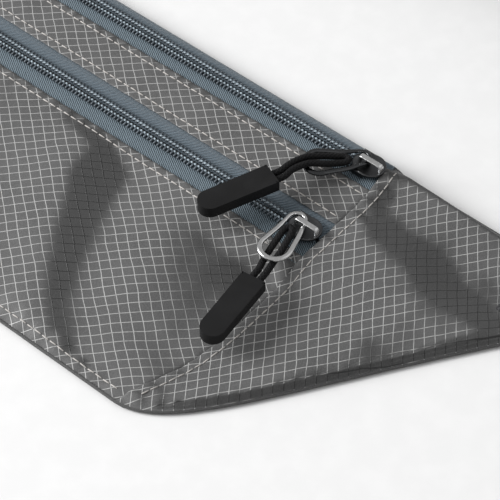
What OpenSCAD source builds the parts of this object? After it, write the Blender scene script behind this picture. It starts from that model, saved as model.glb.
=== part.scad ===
// Money belt: a flat zipped waist pouch with two wings, a webbing strap and a
// side-release buckle. The pouch lies on its back with its front face up.
// +X runs along the belt, +Y from the bottom hem to the top edge and +Z out of
// the front face. The origin is the middle of the pouch's flat back.
// All sizes are in millimetres and all angles in degrees.

/* [Pouch] */
// Length of the pouch between its two side seams
pouch_length = 220; // [180:1:270]
// Height of the pouch from its bottom hem to its top edge
pouch_height = 130; // [120:1:160]
// Thickness of one ply of pouch fabric with its coating
fabric_t = 0.7; // [0.4:0.1:0.7]
// Height of the zip tapes above the table
deck_z = 6.6; // [6.2:0.1:8]
// How far the filled front panel stands above the level of the zip tapes
crown = 1.5; // [0:0.1:1.6]

/* [Wings] */
// Length of each wing from the side seam to where the strap leaves it
wing_length = 74; // [60:1:100]
// Length of strap that is sewn in between the plies of a wing
strap_sewn_in = 16; // [8:1:30]

/* [Zips] */
// Distance of the main zip's centre line from the top edge
zip_from_top = 8.2; // [8:0.1:12]
// Distance between the centre lines of the two zips
zip_spacing = 35; // [30:0.5:42]
// Width of a closed chain of coils
chain_w = 6; // [5:0.1:6.5]
// Height of the coils above their tape
chain_rise = 1.6; // [1.2:0.1:1.6]
// Thickness of the zip tape
tape_t = 0.6; // [0.4:0.1:0.8]
// Width of lower tape left in view beside the front zip's chain
front_tape_view = 5.6; // [4:0.1:7]
// Width of upper tape left in view beside the front zip's chain
mid_tape_view = 5.6; // [4:0.1:7]
// Width of lower tape left in view beside the main zip's chain
main_tape_view = 4.4; // [3:0.1:5]
// Width of tape that is hidden under the edge of a panel
tape_underlap = 2.6; // [1:0.1:4]
// Width of the slit between the two rows of coils, where the slider's post runs
chain_slit = 1.5; // [1.2:0.1:2]

/* [Sliders] */
// Length of a slider along the zip
slider_l = 12; // [10:0.1:14]
// Width of a slider across the zip
slider_w = 10.2; // [9:0.1:10.6]
// Thickness of each of a slider's two plates
slider_t = 0.9; // [0.7:0.1:1.1]
// Gap between a slider and the chain or the tape that it runs on
slider_gap = 0.2; // [0.15:0.05:0.3]
// Distance of the front slider's middle from the side seam
front_slider_in = 6; // [6:0.5:12]
// Distance of the main slider's middle from the side seam
main_slider_in = 7; // [7:0.5:12]
// Length of the bail, the arch that carries the ring
bail_l = 9.6; // [9:0.1:10]
// Width of the bail
bail_w = 2.2; // [1.6:0.1:2.4]
// Thickness of the bail's bar
bail_t = 0.9; // [0.7:0.1:1.2]
// Clear height under the bail's bar
bail_window = 1.6; // [1.5:0.1:2]

/* [Pullers] */
// Radius of the ring's small bow, on the middle of its wire
bow_small_r = 2.6; // [2.4:0.1:2.8]
// Radius of the ring's large bow, on the middle of its wire
bow_large_r = 4.9; // [4:0.1:6]
// Distance between the centres of the ring's two bows
bow_spacing = 13.6; // [11:0.1:16]
// Height of the ring's large bow above its small bow
ring_rise = 1.3; // [1.2:0.1:1.6]
// Diameter of the pull cord
cord_d = 2; // [1.6:0.1:2.2]
// Length of a moulded grip
grip_l = 27.5; // [20:0.5:32]
// Width of a moulded grip
grip_w = 8.4; // [7:0.1:9.5]
// Thickness of a moulded grip
grip_t = 4.3; // [3.5:0.1:4.5]

/* [Strap] */
// Width of the webbing
strap_w = 25; // [20:0.5:25]
// Thickness of the webbing
strap_t = 1.4; // [1:0.1:1.4]
// Radius of the strap's turn just outside a wing
strap_turn_r = 48; // [44:1:60]
// Radius of the strap's slow turn into its back run
strap_back_r = 180; // [150:1:200]
// Length of the webbing's free tail behind the buckle
tail_l = 70; // [60:1:72]
// Width of the elastic keeper that holds the tail
keeper_w = 8; // [6:0.5:10]

/* [Buckle] */
// Width of the buckle across the strap
buckle_w = 32; // [31:0.5:36]
// Thickness of the buckle's socket
buckle_t = 9; // [8:0.1:11]
// Length of the socket's hollow body
socket_l = 21.5; // [21:0.5:26]
// How far the plug moves out to leave the socket
release_travel = 26; // [26:1:30]

/* [Hidden] */

hair = 0.05;            // gap between sewn layers that lie on each other
half_l = pouch_length / 2;
half_h = pouch_height / 2;
wing_end_x = half_l + wing_length;

// Heights in the pouch, from the table up
panel_top = deck_z + hair + fabric_t;
chain_top = deck_z + chain_rise;
hem_top = 2 * fabric_t + 4 * hair;
top_edge_z = deck_z / 2 + 0.3;

// Places across the pouch
main_zip_y = half_h - zip_from_top;
front_zip_y = main_zip_y - zip_spacing;
front_edge_y = front_zip_y - chain_w / 2 - front_tape_view;
mid_low_y = front_zip_y + chain_w / 2 + mid_tape_view;
mid_high_y = main_zip_y - chain_w / 2 - main_tape_view;

// Sliders and pullers
plate_z = chain_top + slider_gap;
plate_top = plate_z + slider_t;
bar_z = plate_top + bail_window;
bail_top = bar_z + bail_t;
wire_z = plate_top + bail_window / 2;
bow_half_t = 0.8;       // half the thickness of the ring's wire at its large bow
bow_top = wire_z + ring_rise + bow_half_t;
bail_shift = 0.8;       // the bail sits this much nearer the seam than the slider
post_l = 1.2;
front_slider_x = half_l - front_slider_in;
main_slider_x = half_l - main_slider_in;
pivot_in = -bail_l / 2 + bail_shift + post_l / 2;
front_pivot = [front_slider_x + pivot_in, front_zip_y];
main_pivot = [main_slider_x + pivot_in, main_zip_y];
front_ring_turn = -79;
main_ring_turn = -127;
front_grip_turn = -83;
main_grip_turn = -111;
// Root of each grip: along and across from its ring's pivot, then its mid height
front_grip_at = [29.7, 0.65, plate_top + 1.8];
main_grip_at = [31.5, 6, bow_top + 0.25 + grip_t / 2];

// Route of one strand of each pull cord, from its bight inside the ring to the grip:
// along the ring's axis, across it, and the height above the bail's small bow
front_cord_route = [[4.2, 0, 0.4], [5.4, 1.3, 0.4], [9, 1.6, 0.2], [14, 1.7, -0.3], [18.5, 1.5, -0.7], [24, 2, 0.2]];
main_cord_route = [[4.2, 0, 0.4], [5.4, 1.3, 0.5], [9, 1.6, 1.1], [14, 1.7, 2.3], [18.5, 1.5, 3.25], [24, 3.4, 3.9]];
strand_apart = 1.4;     // half the distance between the strands where they enter the grip

// Strap
strap_y = half_h - 2 - strap_w / 2;
sewn_z = fabric_t + 0.25 + strap_t / 2;
twist_l = 95;           // path over which the strap turns from flat onto its edge
first_turn = 150;
leave_l = 8;            // flat strap between the wing and the first turn
back_run_y = strap_y + strap_turn_r * (1 - cos(first_turn)) + strap_back_r * (cos(first_turn) + 1);
back_run_x = wing_end_x + leave_l + strap_turn_r * sin(first_turn) - strap_back_r * sin(first_turn);

// Buckle, which stands on its edge in the middle of the strap's back run
bar_r = 1.5;
bar_wrap_r = bar_r + 0.25 + strap_t / 2;
buckle_y = back_run_y + bar_wrap_r;
buckle_z = buckle_w / 2 + 0.2;
frame_t = 4.4;
inside_w = strap_w + 0.8;
socket_bar_x = socket_l + 5.5;
plug_bar_x = -11.5;
lead_end_x = plug_bar_x - bar_r - release_travel - 3;
converge = 8;
converge_l = 22;
keeper_x = lead_end_x - 36;
mouth_half = strap_w / 2;
taper = 0.125;          // how fast the socket's channel widens behind its mouth
depth = socket_l - 2;
head_gap = 0.3;
prong_in = mouth_half - 3.2;
prong_t = 2;
prong_y_t = 4;
hinge_x = -1;
hinge_off = prong_in + prong_t / 2;

function smooth(t) = t <= 0 ? 0 : t >= 1 ? 1 : t * t * (3 - 2 * t);
function mix(a, b, t) = a + (b - a) * t;
function bezier(a, b, c, d, t) =
    pow(1 - t, 3) * a + 3 * t * pow(1 - t, 2) * b + 3 * t * t * (1 - t) * c + pow(t, 3) * d;

// The side seam bows: its ends curve in towards the middle of the pouch
function seam_x(y) =
    half_l + 0.5
    - 4.2 * pow(max(0, y - half_h + 30) / 30, 2)
    - 11 * pow(max(0, 50 - half_h - y) / 50, 2);

// Height of the fabric's upper face over the pouch
function fall(y) = pow(max(0, front_edge_y - y) / (front_edge_y + half_h), 2.6);
function swell(x, y) =
    crown * pow(max(0, sin(180 * min(1, max(0, (front_edge_y - y) / (front_edge_y + half_h))))), 1.2)
    * (1 - 0.75 * smooth((abs(x) - half_l + 40) / 40));
function body_top(x, y) =
    mix(panel_top, hem_top, fall(y)) + swell(x, y)
    - (panel_top - top_edge_z) * smooth((y - half_h + 6) / 6);

// A closed sheet of thickness t, whose upper face runs through a grid of points
module sheet(grid, t) {
    rows = len(grid);
    cols = len(grid[0]);
    upper = [for (row = grid) for (p = row) p];
    lower = [for (p = upper) p - [0, 0, t]];
    n = rows * cols;
    function at(i, j) = i * cols + j;
    faces = concat(
        [for (i = [0:rows - 2]) for (j = [0:cols - 2]) for (f = [
            [at(i, j), at(i, j + 1), at(i + 1, j + 1)], [at(i, j), at(i + 1, j + 1), at(i + 1, j)],
            [n + at(i, j), n + at(i + 1, j + 1), n + at(i, j + 1)],
            [n + at(i, j), n + at(i + 1, j), n + at(i + 1, j + 1)]]) f],
        [for (j = [0:cols - 2]) for (f = [
            [at(0, j), n + at(0, j), n + at(0, j + 1)], [at(0, j), n + at(0, j + 1), at(0, j + 1)],
            [at(rows - 1, j), at(rows - 1, j + 1), n + at(rows - 1, j + 1)],
            [at(rows - 1, j), n + at(rows - 1, j + 1), n + at(rows - 1, j)]]) f],
        [for (i = [0:rows - 2]) for (f = [
            [at(i, 0), at(i + 1, 0), n + at(i + 1, 0)], [at(i, 0), n + at(i + 1, 0), n + at(i, 0)],
            [at(i, cols - 1), n + at(i, cols - 1), n + at(i + 1, cols - 1)],
            [at(i, cols - 1), n + at(i + 1, cols - 1), at(i + 1, cols - 1)]]) f]);
    polyhedron(concat(upper, lower), faces);
}

// A bar with the outlines in sections, which all have the same number of points
module swept(sections, closed = false) {
    n = len(sections[0]);
    m = len(sections);
    points = [for (s = sections) for (p = s) p];
    steps = closed ? m : m - 1;
    sides = [for (i = [0:steps - 1]) for (k = [0:n - 1]) for (f = [
        [i * n + k, i * n + (k + 1) % n, ((i + 1) % m) * n + (k + 1) % n],
        [i * n + k, ((i + 1) % m) * n + (k + 1) % n, ((i + 1) % m) * n + k]]) f];
    caps = closed ? [] : [[for (k = [n - 1:-1:0]) k], [for (k = [0:n - 1]) (m - 1) * n + k]];
    polyhedron(points, concat(sides, caps));
}

// ---- Fabric panels ----

// Lower edge of the right wing, from the hem's corner to the strap's lower edge
wing_foot = [
    [seam_x(-half_h), -half_h],
    [half_l + 11, -half_h + 1],
    [half_l + 28, -half_h * 0.37],
    [wing_end_x, half_h - strap_w - 2]
];
function wing_edge(a) = [for (k = [0:1]) bezier(wing_foot[0][k], wing_foot[1][k], wing_foot[2][k], wing_foot[3][k], a)];
wing_tip_z = sewn_z + strap_t / 2 + hair + fabric_t;
function wing_point(a, b) = let (
        y0 = mix(half_h, -half_h, b),
        inner = [seam_x(y0), y0],
        outer = [wing_end_x, mix(half_h, half_h - strap_w - 2, b)],
        high = [mix(seam_x(half_h), wing_end_x, a), half_h],
        low = wing_edge(a),
        rule = mix(high, low, b),
        corner = mix([mix(seam_x(half_h), wing_end_x, a), half_h], mix(wing_foot[0], wing_foot[3], a), b),
        span = mix(inner, outer, a),
        p = rule + span - corner
    ) [p[0], p[1], mix(body_top(seam_x(y0), y0) + hair + fabric_t, wing_tip_z, smooth(a))];

module back_panel() {
    steps = 16;
    right = [for (i = [0:steps]) wing_edge(i / steps)];
    outline = concat(right, [[wing_end_x, half_h], [-wing_end_x, half_h]], [for (i = [steps:-1:0]) [-right[i][0], right[i][1]]]);
    color("dimgray") linear_extrude(fabric_t) polygon(outline);
}

module front_panel() {
    cols = 22;
    rows = 14;
    color("gray") sheet([for (i = [0:rows]) let (y = mix(front_edge_y, -half_h, i / rows)) [for (j = [0:cols]) let (
        x = mix(1, -1, j / cols) * (seam_x(y) - 0.3)) [x, y, body_top(x, y)]]], fabric_t);
}

module mid_strip() {
    arch = 0.35;
    edge = mid_high_y - mid_low_y;
    color("gray") sheet([for (i = [0:4]) let (y = mix(mid_high_y, mid_low_y, i / 4)) [for (j = [0:2]) let (
        x = mix(1, -1, j / 2) * (seam_x(y) - 0.3)) [x, y, panel_top + arch * sin(180 * (mid_high_y - y) / edge)]]], fabric_t);
}

// The wall between the two pockets: it hangs from the front zip's upper tape
module pocket_divider() {
    t = 0.5;
    top_y = mid_low_y + tape_underlap;
    low_z = fabric_t + 0.4;
    side = [[top_y, deck_z - tape_t - t - hair], [mid_low_y - 0.5, deck_z - tape_t - t - 0.4],
        [mid_low_y - 3.2, 3.2], [mid_low_y - 7, 2], [front_zip_y - 8, low_z + 0.3], [-half_h + 6, low_z]];
    outline = concat(side, [for (i = [len(side) - 1:-1:0]) side[i] + [0, t]]);
    color("darkgray") translate([-half_l + 5, 0, 0]) rotate([90, 0, 90]) linear_extrude(pouch_length - 10) polygon(outline);
}

// Rows of points down a wing, closer together where it rolls over the top edge
wing_rows = concat([0, 1, 2, 3, 4, 5, 6.5], [for (i = [0:11]) 8 + i * (pouch_height - 8) / 11]) / pouch_height;

module wing() {
    cols = 12;
    color("gray") sheet([for (b = wing_rows) [for (j = [cols:-1:0]) wing_point(j / cols, b)]], fabric_t);
}

module wing_right() wing();
module wing_left() mirror([1, 0, 0]) wing();

// ---- Zips ----
zip_half = seam_x(0) - 2;
main_zip_half = seam_x(half_h) - 0.3;

module tape(y0, y1, reach) {
    color("slategray") translate([-reach, min(y0, y1), deck_z - tape_t]) cube([2 * reach, abs(y1 - y0), tape_t]);
}

// The main zip's upper tape rolls over the pouch's top edge down to the back
module main_zip_tape_upper() {
    flat_y = half_h - 3.6;
    steps = 8;
    drop = deck_z - fabric_t - hair;
    roll = [for (i = [0:steps]) let (a = 180 * i / steps) [flat_y + 3.6 * sin(a), fabric_t + hair + drop * (1 + cos(a)) / 2]];
    inner = [for (i = [steps:-1:0]) let (a = 180 * i / steps)
        [flat_y + (3.6 - tape_t) * sin(a), fabric_t + hair + tape_t + (drop - 2 * tape_t) * (1 + cos(a)) / 2]];
    start = [main_zip_y + chain_slit / 2, deck_z];
    outline = concat([start], roll, inner, [start - [0, tape_t]]);
    color("slategray") translate([-main_zip_half, 0, 0]) rotate([90, 0, 90]) linear_extrude(2 * main_zip_half) polygon(outline);
}

module main_zip_tape_lower() tape(main_zip_y - chain_slit / 2, mid_high_y - tape_underlap, main_zip_half);
module front_zip_tape_upper() tape(front_zip_y + chain_slit / 2, mid_low_y + tape_underlap, zip_half);
module front_zip_tape_lower() tape(front_zip_y - chain_slit / 2, front_edge_y - tape_underlap, zip_half);

module coil(y, side, reach) {
    w = (chain_w - chain_slit) / 2;
    color("darkslategray") translate([-reach, y + (side > 0 ? chain_slit / 2 : -chain_slit / 2 - w), deck_z + hair / 2])
        cube([2 * reach, w, chain_rise - hair / 2]);
}

module main_zip_coil_upper() coil(main_zip_y, 1, main_zip_half);
module main_zip_coil_lower() coil(main_zip_y, -1, main_zip_half);
module front_zip_coil_upper() coil(front_zip_y, 1, zip_half);
module front_zip_coil_lower() coil(front_zip_y, -1, zip_half);

// ---- Sliders ----
module plate_outline() {
    r = slider_w / 2;
    intersection() {
        square([slider_l, slider_w], center = true);
        union() {
            translate([slider_l / 2 - r, 0]) circle(r, $fn = 64);
            translate([-r / 2, 0]) square([slider_l - r, slider_w], center = true);
        }
    }
}

module slider(x, y) {
    post_x = 2.4;
    post_t = chain_slit - 0.4;
    flange_t = 0.7;
    flange_l = 7;
    low_z = deck_z - tape_t - slider_gap - slider_t;
    color("gray") translate([x, y, 0]) union() {
        translate([0, 0, plate_z]) linear_extrude(slider_t) plate_outline();
        translate([0, 0, low_z]) linear_extrude(slider_t) plate_outline();
        translate([post_x, -post_t / 2, low_z]) cube([2.4, post_t, plate_top - low_z]);
        for (side = [-1, 1])
            translate([-slider_l / 2, side * (slider_w - flange_t) / 2 - flange_t / 2, deck_z + slider_gap])
                cube([flange_l, flange_t, plate_top - deck_z - slider_gap]);
    }
}

module bail(x, y) {
    color("silver") translate([x + bail_shift - bail_l / 2, y - bail_w / 2, 0]) union() {
        translate([0, 0, plate_top]) cube([post_l, bail_w, bail_top - plate_top]);
        translate([bail_l - post_l, 0, plate_top]) cube([post_l, bail_w, bail_top - plate_top]);
        translate([0, 0, bar_z]) cube([bail_l, bail_w, bail_t]);
    }
}

module main_slider() slider(main_slider_x, main_zip_y);
module front_slider() slider(front_slider_x, front_zip_y);
module main_bail() bail(main_slider_x, main_zip_y);
module front_bail() bail(front_slider_x, front_zip_y);

// ---- Pullers ----

// Centre line of the teardrop ring round its pivot, with the large bow towards +X,
// as [point, half width of the wire, half height of the wire]
lean = asin((bow_large_r - bow_small_r) / bow_spacing);
function ring_z(d) = wire_z + ring_rise * smooth((d - 4) / (bow_spacing - 4));
function ring_stop(p, w, h) = [[p[0], p[1], ring_z(p[0])], w, h];
ring_line = concat(
    [for (i = [0:9]) let (a = mix(90 + lean, 270 - lean, i / 9)) ring_stop(bow_small_r * [cos(a), sin(a)], 0.7, 0.5)],
    [for (i = [1:5]) let (t = i / 6, a = 270 - lean,
            from = bow_small_r * [cos(a), sin(a)], to = [bow_spacing, 0] + bow_large_r * [cos(a), sin(a)])
        ring_stop(mix(from, to, t), 0.8 + 0.35 * sin(180 * t), 0.55)],
    [for (i = [0:13]) let (a = mix(-90 - lean, 90 + lean, i / 13)) ring_stop([bow_spacing, 0] + bow_large_r * [cos(a), sin(a)], 0.85, bow_half_t)],
    [for (i = [1:5]) let (t = i / 6, a = 90 + lean,
            from = [bow_spacing, 0] + bow_large_r * [cos(a), sin(a)], to = bow_small_r * [cos(a), sin(a)])
        ring_stop(mix(from, to, t), 0.8 + 0.35 * sin(180 * t), 0.55)]);

module ring(pivot, turn) {
    n = len(ring_line);
    sections = [for (i = [0:n - 1]) let (
            p = ring_line[i][0],
            ahead = ring_line[(i + 1) % n][0],
            behind = ring_line[(i + n - 1) % n][0],
            along = [ahead[0] - behind[0], ahead[1] - behind[1]] / norm([ahead[0] - behind[0], ahead[1] - behind[1]]),
            out = [along[1], -along[0], 0])
        [for (k = [0:7]) p + out * ring_line[i][1] * cos(45 * k + 22.5) + [0, 0, ring_line[i][2] * sin(45 * k + 22.5)]]];
    color("silver") translate([pivot[0], pivot[1], 0]) rotate(turn) swept(sections, closed = true);
}

module main_ring() ring(main_pivot, main_ring_turn);
module front_ring() ring(front_pivot, front_ring_turn);

function turned(v, a) = [v[0] * cos(a) - v[1] * sin(a), v[0] * sin(a) + v[1] * cos(a)];
function grip_root(pivot, turn, at) = let (p = pivot + turned([at[0], at[1]], turn)) [p[0], p[1], at[2]];

module grip(root, turn) {
    r = grip_w / 2;
    color("black") translate(root - [0, 0, grip_t / 2]) rotate(turn) linear_extrude(grip_t) union() {
        translate([0, -r]) square([grip_l - r, grip_w]);
        translate([grip_l - r, 0]) circle(r, $fn = 64);
    }
}

module main_grip() grip(grip_root(main_pivot, main_ring_turn, main_grip_at), main_grip_turn);
module front_grip() grip(grip_root(front_pivot, front_ring_turn, front_grip_at), front_grip_turn);

// A smooth line through points, with so many steps between each two
function spline(points, steps) = let (n = len(points)) concat(
    [for (i = [0:n - 2]) for (k = [0:steps - 1]) let (
            t = k / steps,
            a = points[max(0, i - 1)], b = points[i], c = points[i + 1], d = points[min(n - 1, i + 2)])
        0.5 * (2 * b + (c - a) * t + (2 * a - 5 * b + 4 * c - d) * t * t + (3 * b - a - 3 * c + d) * t * t * t)],
    [points[n - 1]]);

module pull_cord(pivot, ring_turn, route, at, grip_turn) {
    root = grip_root(pivot, ring_turn, at);
    function strand_end(side, back) = let (
            p = turned([-back, side * strand_apart], grip_turn)) [root[0] + p[0], root[1] + p[1], root[2]];
    function place(p, side) = let (
            q = pivot + turned([p[0], p[0] < 20 ? side * p[1] : p[1] - strand_apart + side * strand_apart], ring_turn))
        [q[0], q[1], wire_z + p[2]];
    n = len(route);
    stops = concat([strand_end(1, 0.2), strand_end(1, 3.5)], [for (i = [n - 1:-1:0]) place(route[i], 1)],
        [for (i = [1:n - 1]) place(route[i], -1)], [strand_end(-1, 3.5), strand_end(-1, 0.2)]);
    line = spline(stops, 3);
    m = len(line);
    sections = [for (i = [0:m - 1]) let (
            ahead = line[min(m - 1, i + 1)] - line[max(0, i - 1)],
            along = ahead / norm(ahead),
            across = [along[1], -along[0], 0] / norm([along[1], -along[0]]),
            up = cross(across, along))
        [for (k = [0:7]) line[i] + (cord_d / 2) * (across * cos(45 * k) + up * sin(45 * k))]];
    color("black") swept(sections);
}

module main_cord() pull_cord(main_pivot, main_ring_turn, main_cord_route, main_grip_at, main_grip_turn);
module front_cord() pull_cord(front_pivot, front_ring_turn, front_cord_route, front_grip_at, front_grip_turn);

// ---- Strap ----

// A run of webbing is a list of stops [x, y, z, heading, roll]: roll 0 lies flat, 90 is on edge.
// The next stops after one straight or turning stretch
function stretch(from, length, turn, steps) = [for (i = [1:steps]) let (
        t = i / steps,
        h = from[3],
        r = turn == 0 ? 0 : length / (turn * PI / 180),
        dx = turn == 0 ? length * t : r * sin(turn * t),
        dy = turn == 0 ? 0 : r * (1 - cos(turn * t)))
    [from[0] + dx * cos(h) - dy * sin(h), from[1] + dx * sin(h) + dy * cos(h), from[2], h + turn * t, from[4]]];
function last(list) = list[len(list) - 1];
function follow(stops, legs, i = 0) = i == len(legs) ? stops
    : follow(concat(stops, stretch(last(stops), legs[i][0], legs[i][1], legs[i][2])), legs, i + 1);
function arc_l(r, turn) = r * abs(turn) * PI / 180;

// The strap from inside the wing to the start of its back run, with its twist
loop_l1 = arc_l(strap_turn_r, first_turn);
loop_l2 = arc_l(strap_back_r, 180 - first_turn);
flat_start = [wing_end_x - strap_sewn_in, strap_y, sewn_z, 0, 0];
loop_plan = follow([flat_start], [
    [strap_sewn_in + leave_l, 0, 2], [loop_l1, first_turn, 24], [loop_l2, 180 - first_turn, 8]]);
function loop_s(i) = i <= 2 ? 0 : i <= 26 ? (i - 2) / 24 * loop_l1 : loop_l1 + (i - 26) / 8 * loop_l2;
function twisted(p, i) = let (
        roll = 90 * smooth(loop_s(i) / twist_l),
        lift = (buckle_z - strap_w / 2) * smooth((loop_s(i) - loop_l1) / loop_l2))
    [p[0], p[1], sewn_z * cos(roll) + strap_w / 2 * sin(roll) + lift, p[3], roll];
loop_stops = [for (i = [0:len(loop_plan) - 1]) twisted(loop_plan[i], i)];

module webbing(stops) {
    sections = [for (p = stops) let (
            n = [-sin(p[3]), cos(p[3]), 0],
            wide = n * cos(p[4]) + [0, 0, sin(p[4])],
            thick = -n * sin(p[4]) + [0, 0, cos(p[4])],
            c = [p[0], p[1], p[2]])
        [c - wide * strap_w / 2 - thick * strap_t / 2, c - wide * strap_w / 2 + thick * strap_t / 2,
            c + wide * strap_w / 2 + thick * strap_t / 2, c + wide * strap_w / 2 - thick * strap_t / 2]];
    color("dimgray") swept([for (i = [len(sections) - 1:-1:0]) sections[i]]);
}

module strap_right() {
    wrap = 180 + converge;
    webbing(follow(loop_stops, [
        [last(loop_stops)[0] - socket_bar_x, 0, 1], [arc_l(bar_wrap_r, wrap), -wrap, 12],
        [converge_l, 0, 1], [arc_l(6, converge), converge, 2], [12, 0, 1]]));
}

module strap_left() {
    mirror([1, 0, 0]) webbing(follow(loop_stops, [[last(loop_stops)[0] + lead_end_x, 0, 1]]));
}

// The stretch of webbing that gathers up when the plug slides back along it
module strap_lead() {
    color("dimgray") translate([lead_end_x + hair, back_run_y - strap_t / 2, buckle_z - strap_w / 2])
        cube([plug_bar_x - lead_end_x - 2 * hair, strap_t, strap_w]);
}

module strap_tail() {
    wrap = 180 + converge;
    start = [-plug_bar_x, back_run_y, buckle_z, 180, 90];
    mirror([1, 0, 0]) webbing(follow([start], [
        [arc_l(bar_wrap_r, wrap), -wrap, 12], [converge_l, 0, 1], [arc_l(6, converge), converge, 2], [tail_l, 0, 1]]));
}

// Height of the tail above the middle of the webbing that it lies along
tail_gap = last(follow([[0, 0, 0, 180, 90]], [
    [arc_l(bar_wrap_r, 180 + converge), -180 - converge, 12], [converge_l, 0, 1], [arc_l(6, converge), converge, 2]]))[1];

module strap_keeper() {
    gap = 0.35;
    wall = 1.1;
    y0 = back_run_y - strap_t / 2 - gap;
    y1 = back_run_y + tail_gap + strap_t / 2 + gap;
    z0 = buckle_z - strap_w / 2 - gap;
    color("black") translate([keeper_x - keeper_w / 2, 0, 0]) difference() {
        translate([0, y0 - wall, z0 - wall]) cube([keeper_w, y1 - y0 + 2 * wall, strap_w + 2 * gap + 2 * wall]);
        translate([-1, y0, z0]) cube([keeper_w + 2, y1 - y0, strap_w + 2 * gap]);
    }
}

// ---- Buckle: drawn flat with its width along Y, then stood on its edge ----
module stood_up() translate([0, buckle_y, buckle_z]) rotate([90, 0, 0]) children();

module frame_sides(x0, x1) {
    side_w = (buckle_w - inside_w) / 2;
    for (side = [-1, 1])
        translate([x0, side * (inside_w + side_w) / 2 - side_w / 2, -frame_t / 2]) cube([x1 - x0, side_w, frame_t]);
}

module cross_bar(x) translate([x, 0, 0]) rotate([90, 0, 0]) cylinder(h = buckle_w - 1, r = bar_r, center = true, $fn = 48);

module buckle_socket() {
    channel_t = prong_y_t + 1.2;
    color("black") stood_up() union() {
        difference() {
            translate([0, -buckle_w / 2, -buckle_t / 2]) cube([socket_l, buckle_w, buckle_t]);
            translate([0, 0, -channel_t / 2]) linear_extrude(channel_t) polygon([
                [-1, -mouth_half + taper], [depth, -mouth_half - taper * depth],
                [depth, mouth_half + taper * depth], [-1, mouth_half - taper]]);
            for (side = [-1, 1])
                translate([9, side * buckle_w / 2 - 5, -channel_t / 2]) cube([8, 10, channel_t]);
        }
        frame_sides(socket_l - 1, socket_bar_x + bar_r);
        cross_bar(socket_bar_x);
    }
}

module buckle_plug() {
    knuckle_r = prong_t / 2 + 0.3;
    color("black") stood_up() union() {
        difference() {
            translate([-6, -buckle_w / 2, -frame_t / 2]) cube([5.2, buckle_w, frame_t]);
            for (side = [-1, 1])
                translate([hinge_x, side * hinge_off, 0]) cylinder(h = frame_t + 1, r = knuckle_r, center = true, $fn = 48);
        }
        translate([-2, -2, -2]) cube([depth - 2, 4, 4]);
        frame_sides(plug_bar_x - bar_r, -5);
        cross_bar(plug_bar_x);
    }
}

module prong() {
    head_x = 10;
    tip_x = depth - 0.8;
    color("black") stood_up() linear_extrude(prong_y_t, center = true) union() {
        translate([hinge_x, hinge_off]) circle(prong_t / 2, $fn = 48);
        polygon([[hinge_x, prong_in], [tip_x, prong_in], [tip_x, prong_in + 3],
            [tip_x - 2, mouth_half + taper * (tip_x - 2) - head_gap], [head_x, mouth_half + taper * head_x - head_gap],
            [head_x - 1.5, prong_in + prong_t], [hinge_x, prong_in + prong_t]]);
    }
}

module buckle_prong_upper() prong();
module buckle_prong_lower() translate([0, 0, 2 * buckle_z]) mirror([0, 0, 1]) prong();

back_panel();
front_panel();
mid_strip();
pocket_divider();
wing_right();
wing_left();
main_zip_tape_upper();
main_zip_tape_lower();
main_zip_coil_upper();
main_zip_coil_lower();
front_zip_tape_upper();
front_zip_tape_lower();
front_zip_coil_upper();
front_zip_coil_lower();
main_slider();
main_bail();
main_ring();
main_cord();
main_grip();
front_slider();
front_bail();
front_ring();
front_cord();
front_grip();
strap_right();
strap_left();
strap_lead();
strap_tail();
strap_keeper();
buckle_socket();
buckle_plug();
buckle_prong_upper();
buckle_prong_lower();
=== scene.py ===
"""A money belt: zipped waist pouch, two tapering wings, webbing strap and side-release buckle.

Places and sizes follow the frame's CAD model. Lengths in the classes are in millimetres,
as on a cutter's sheet, and are turned into metres as the meshes are made.
"""

import logging
import math
from dataclasses import dataclass
from enum import Enum
from typing import Callable, Iterable, Sequence

import bpy
from mathutils import Matrix, Vector, noise


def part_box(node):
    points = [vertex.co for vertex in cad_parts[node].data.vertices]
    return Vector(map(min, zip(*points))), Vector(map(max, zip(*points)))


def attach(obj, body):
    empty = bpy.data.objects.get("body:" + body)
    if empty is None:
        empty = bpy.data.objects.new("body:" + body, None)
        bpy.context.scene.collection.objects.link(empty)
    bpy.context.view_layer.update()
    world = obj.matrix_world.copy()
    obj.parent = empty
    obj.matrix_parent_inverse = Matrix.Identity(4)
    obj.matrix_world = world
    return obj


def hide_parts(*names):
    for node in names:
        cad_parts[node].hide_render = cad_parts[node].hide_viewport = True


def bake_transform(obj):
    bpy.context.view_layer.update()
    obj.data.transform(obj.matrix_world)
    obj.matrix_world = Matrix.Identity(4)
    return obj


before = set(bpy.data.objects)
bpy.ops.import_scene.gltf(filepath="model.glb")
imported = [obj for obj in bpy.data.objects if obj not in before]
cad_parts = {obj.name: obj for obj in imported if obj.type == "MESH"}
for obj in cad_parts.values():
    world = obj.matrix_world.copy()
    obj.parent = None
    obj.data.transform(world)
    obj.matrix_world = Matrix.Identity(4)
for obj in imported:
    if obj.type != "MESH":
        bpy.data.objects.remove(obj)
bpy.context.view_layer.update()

LOG = logging.getLogger("money_belt")
MM = 0.001
# Shading angle of cloth, in degrees
CLOTH_ANGLE = 60
# The fixed way from the cloth towards the lamp, by which light and shade are painted into the cloth's colour
TO_LIGHT = Vector((-0.5, -0.4, 0.77)).normalized()
# Round a folded edge: the distance behind it and the drop below the upper face, in millimetres
EDGE_FOLD = ((3.2, 0.62), (1.6, 0.62), (0.7, 0.6), (0.25, 0.5), (0.05, 0.3), (0.12, 0.12), (0.45, 0.02))
Point = tuple[float, float, float]
Colour = tuple[float, float, float]


class Zip(Enum):
    """The belt's two zips, by the start of their nodes' names."""

    MAIN = "main"
    FRONT = "front"


class Side(Enum):
    """A wing or strap half, by the sign of its X."""

    RIGHT = 1
    LEFT = -1


class Half(Enum):
    """A zip's tape and coil, by the side of the zip's centre line that they are on."""

    UPPER = 1
    LOWER = -1

    @property
    def part(self) -> str:
        """The end of its nodes' names."""
        return self.name.lower()


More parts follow.
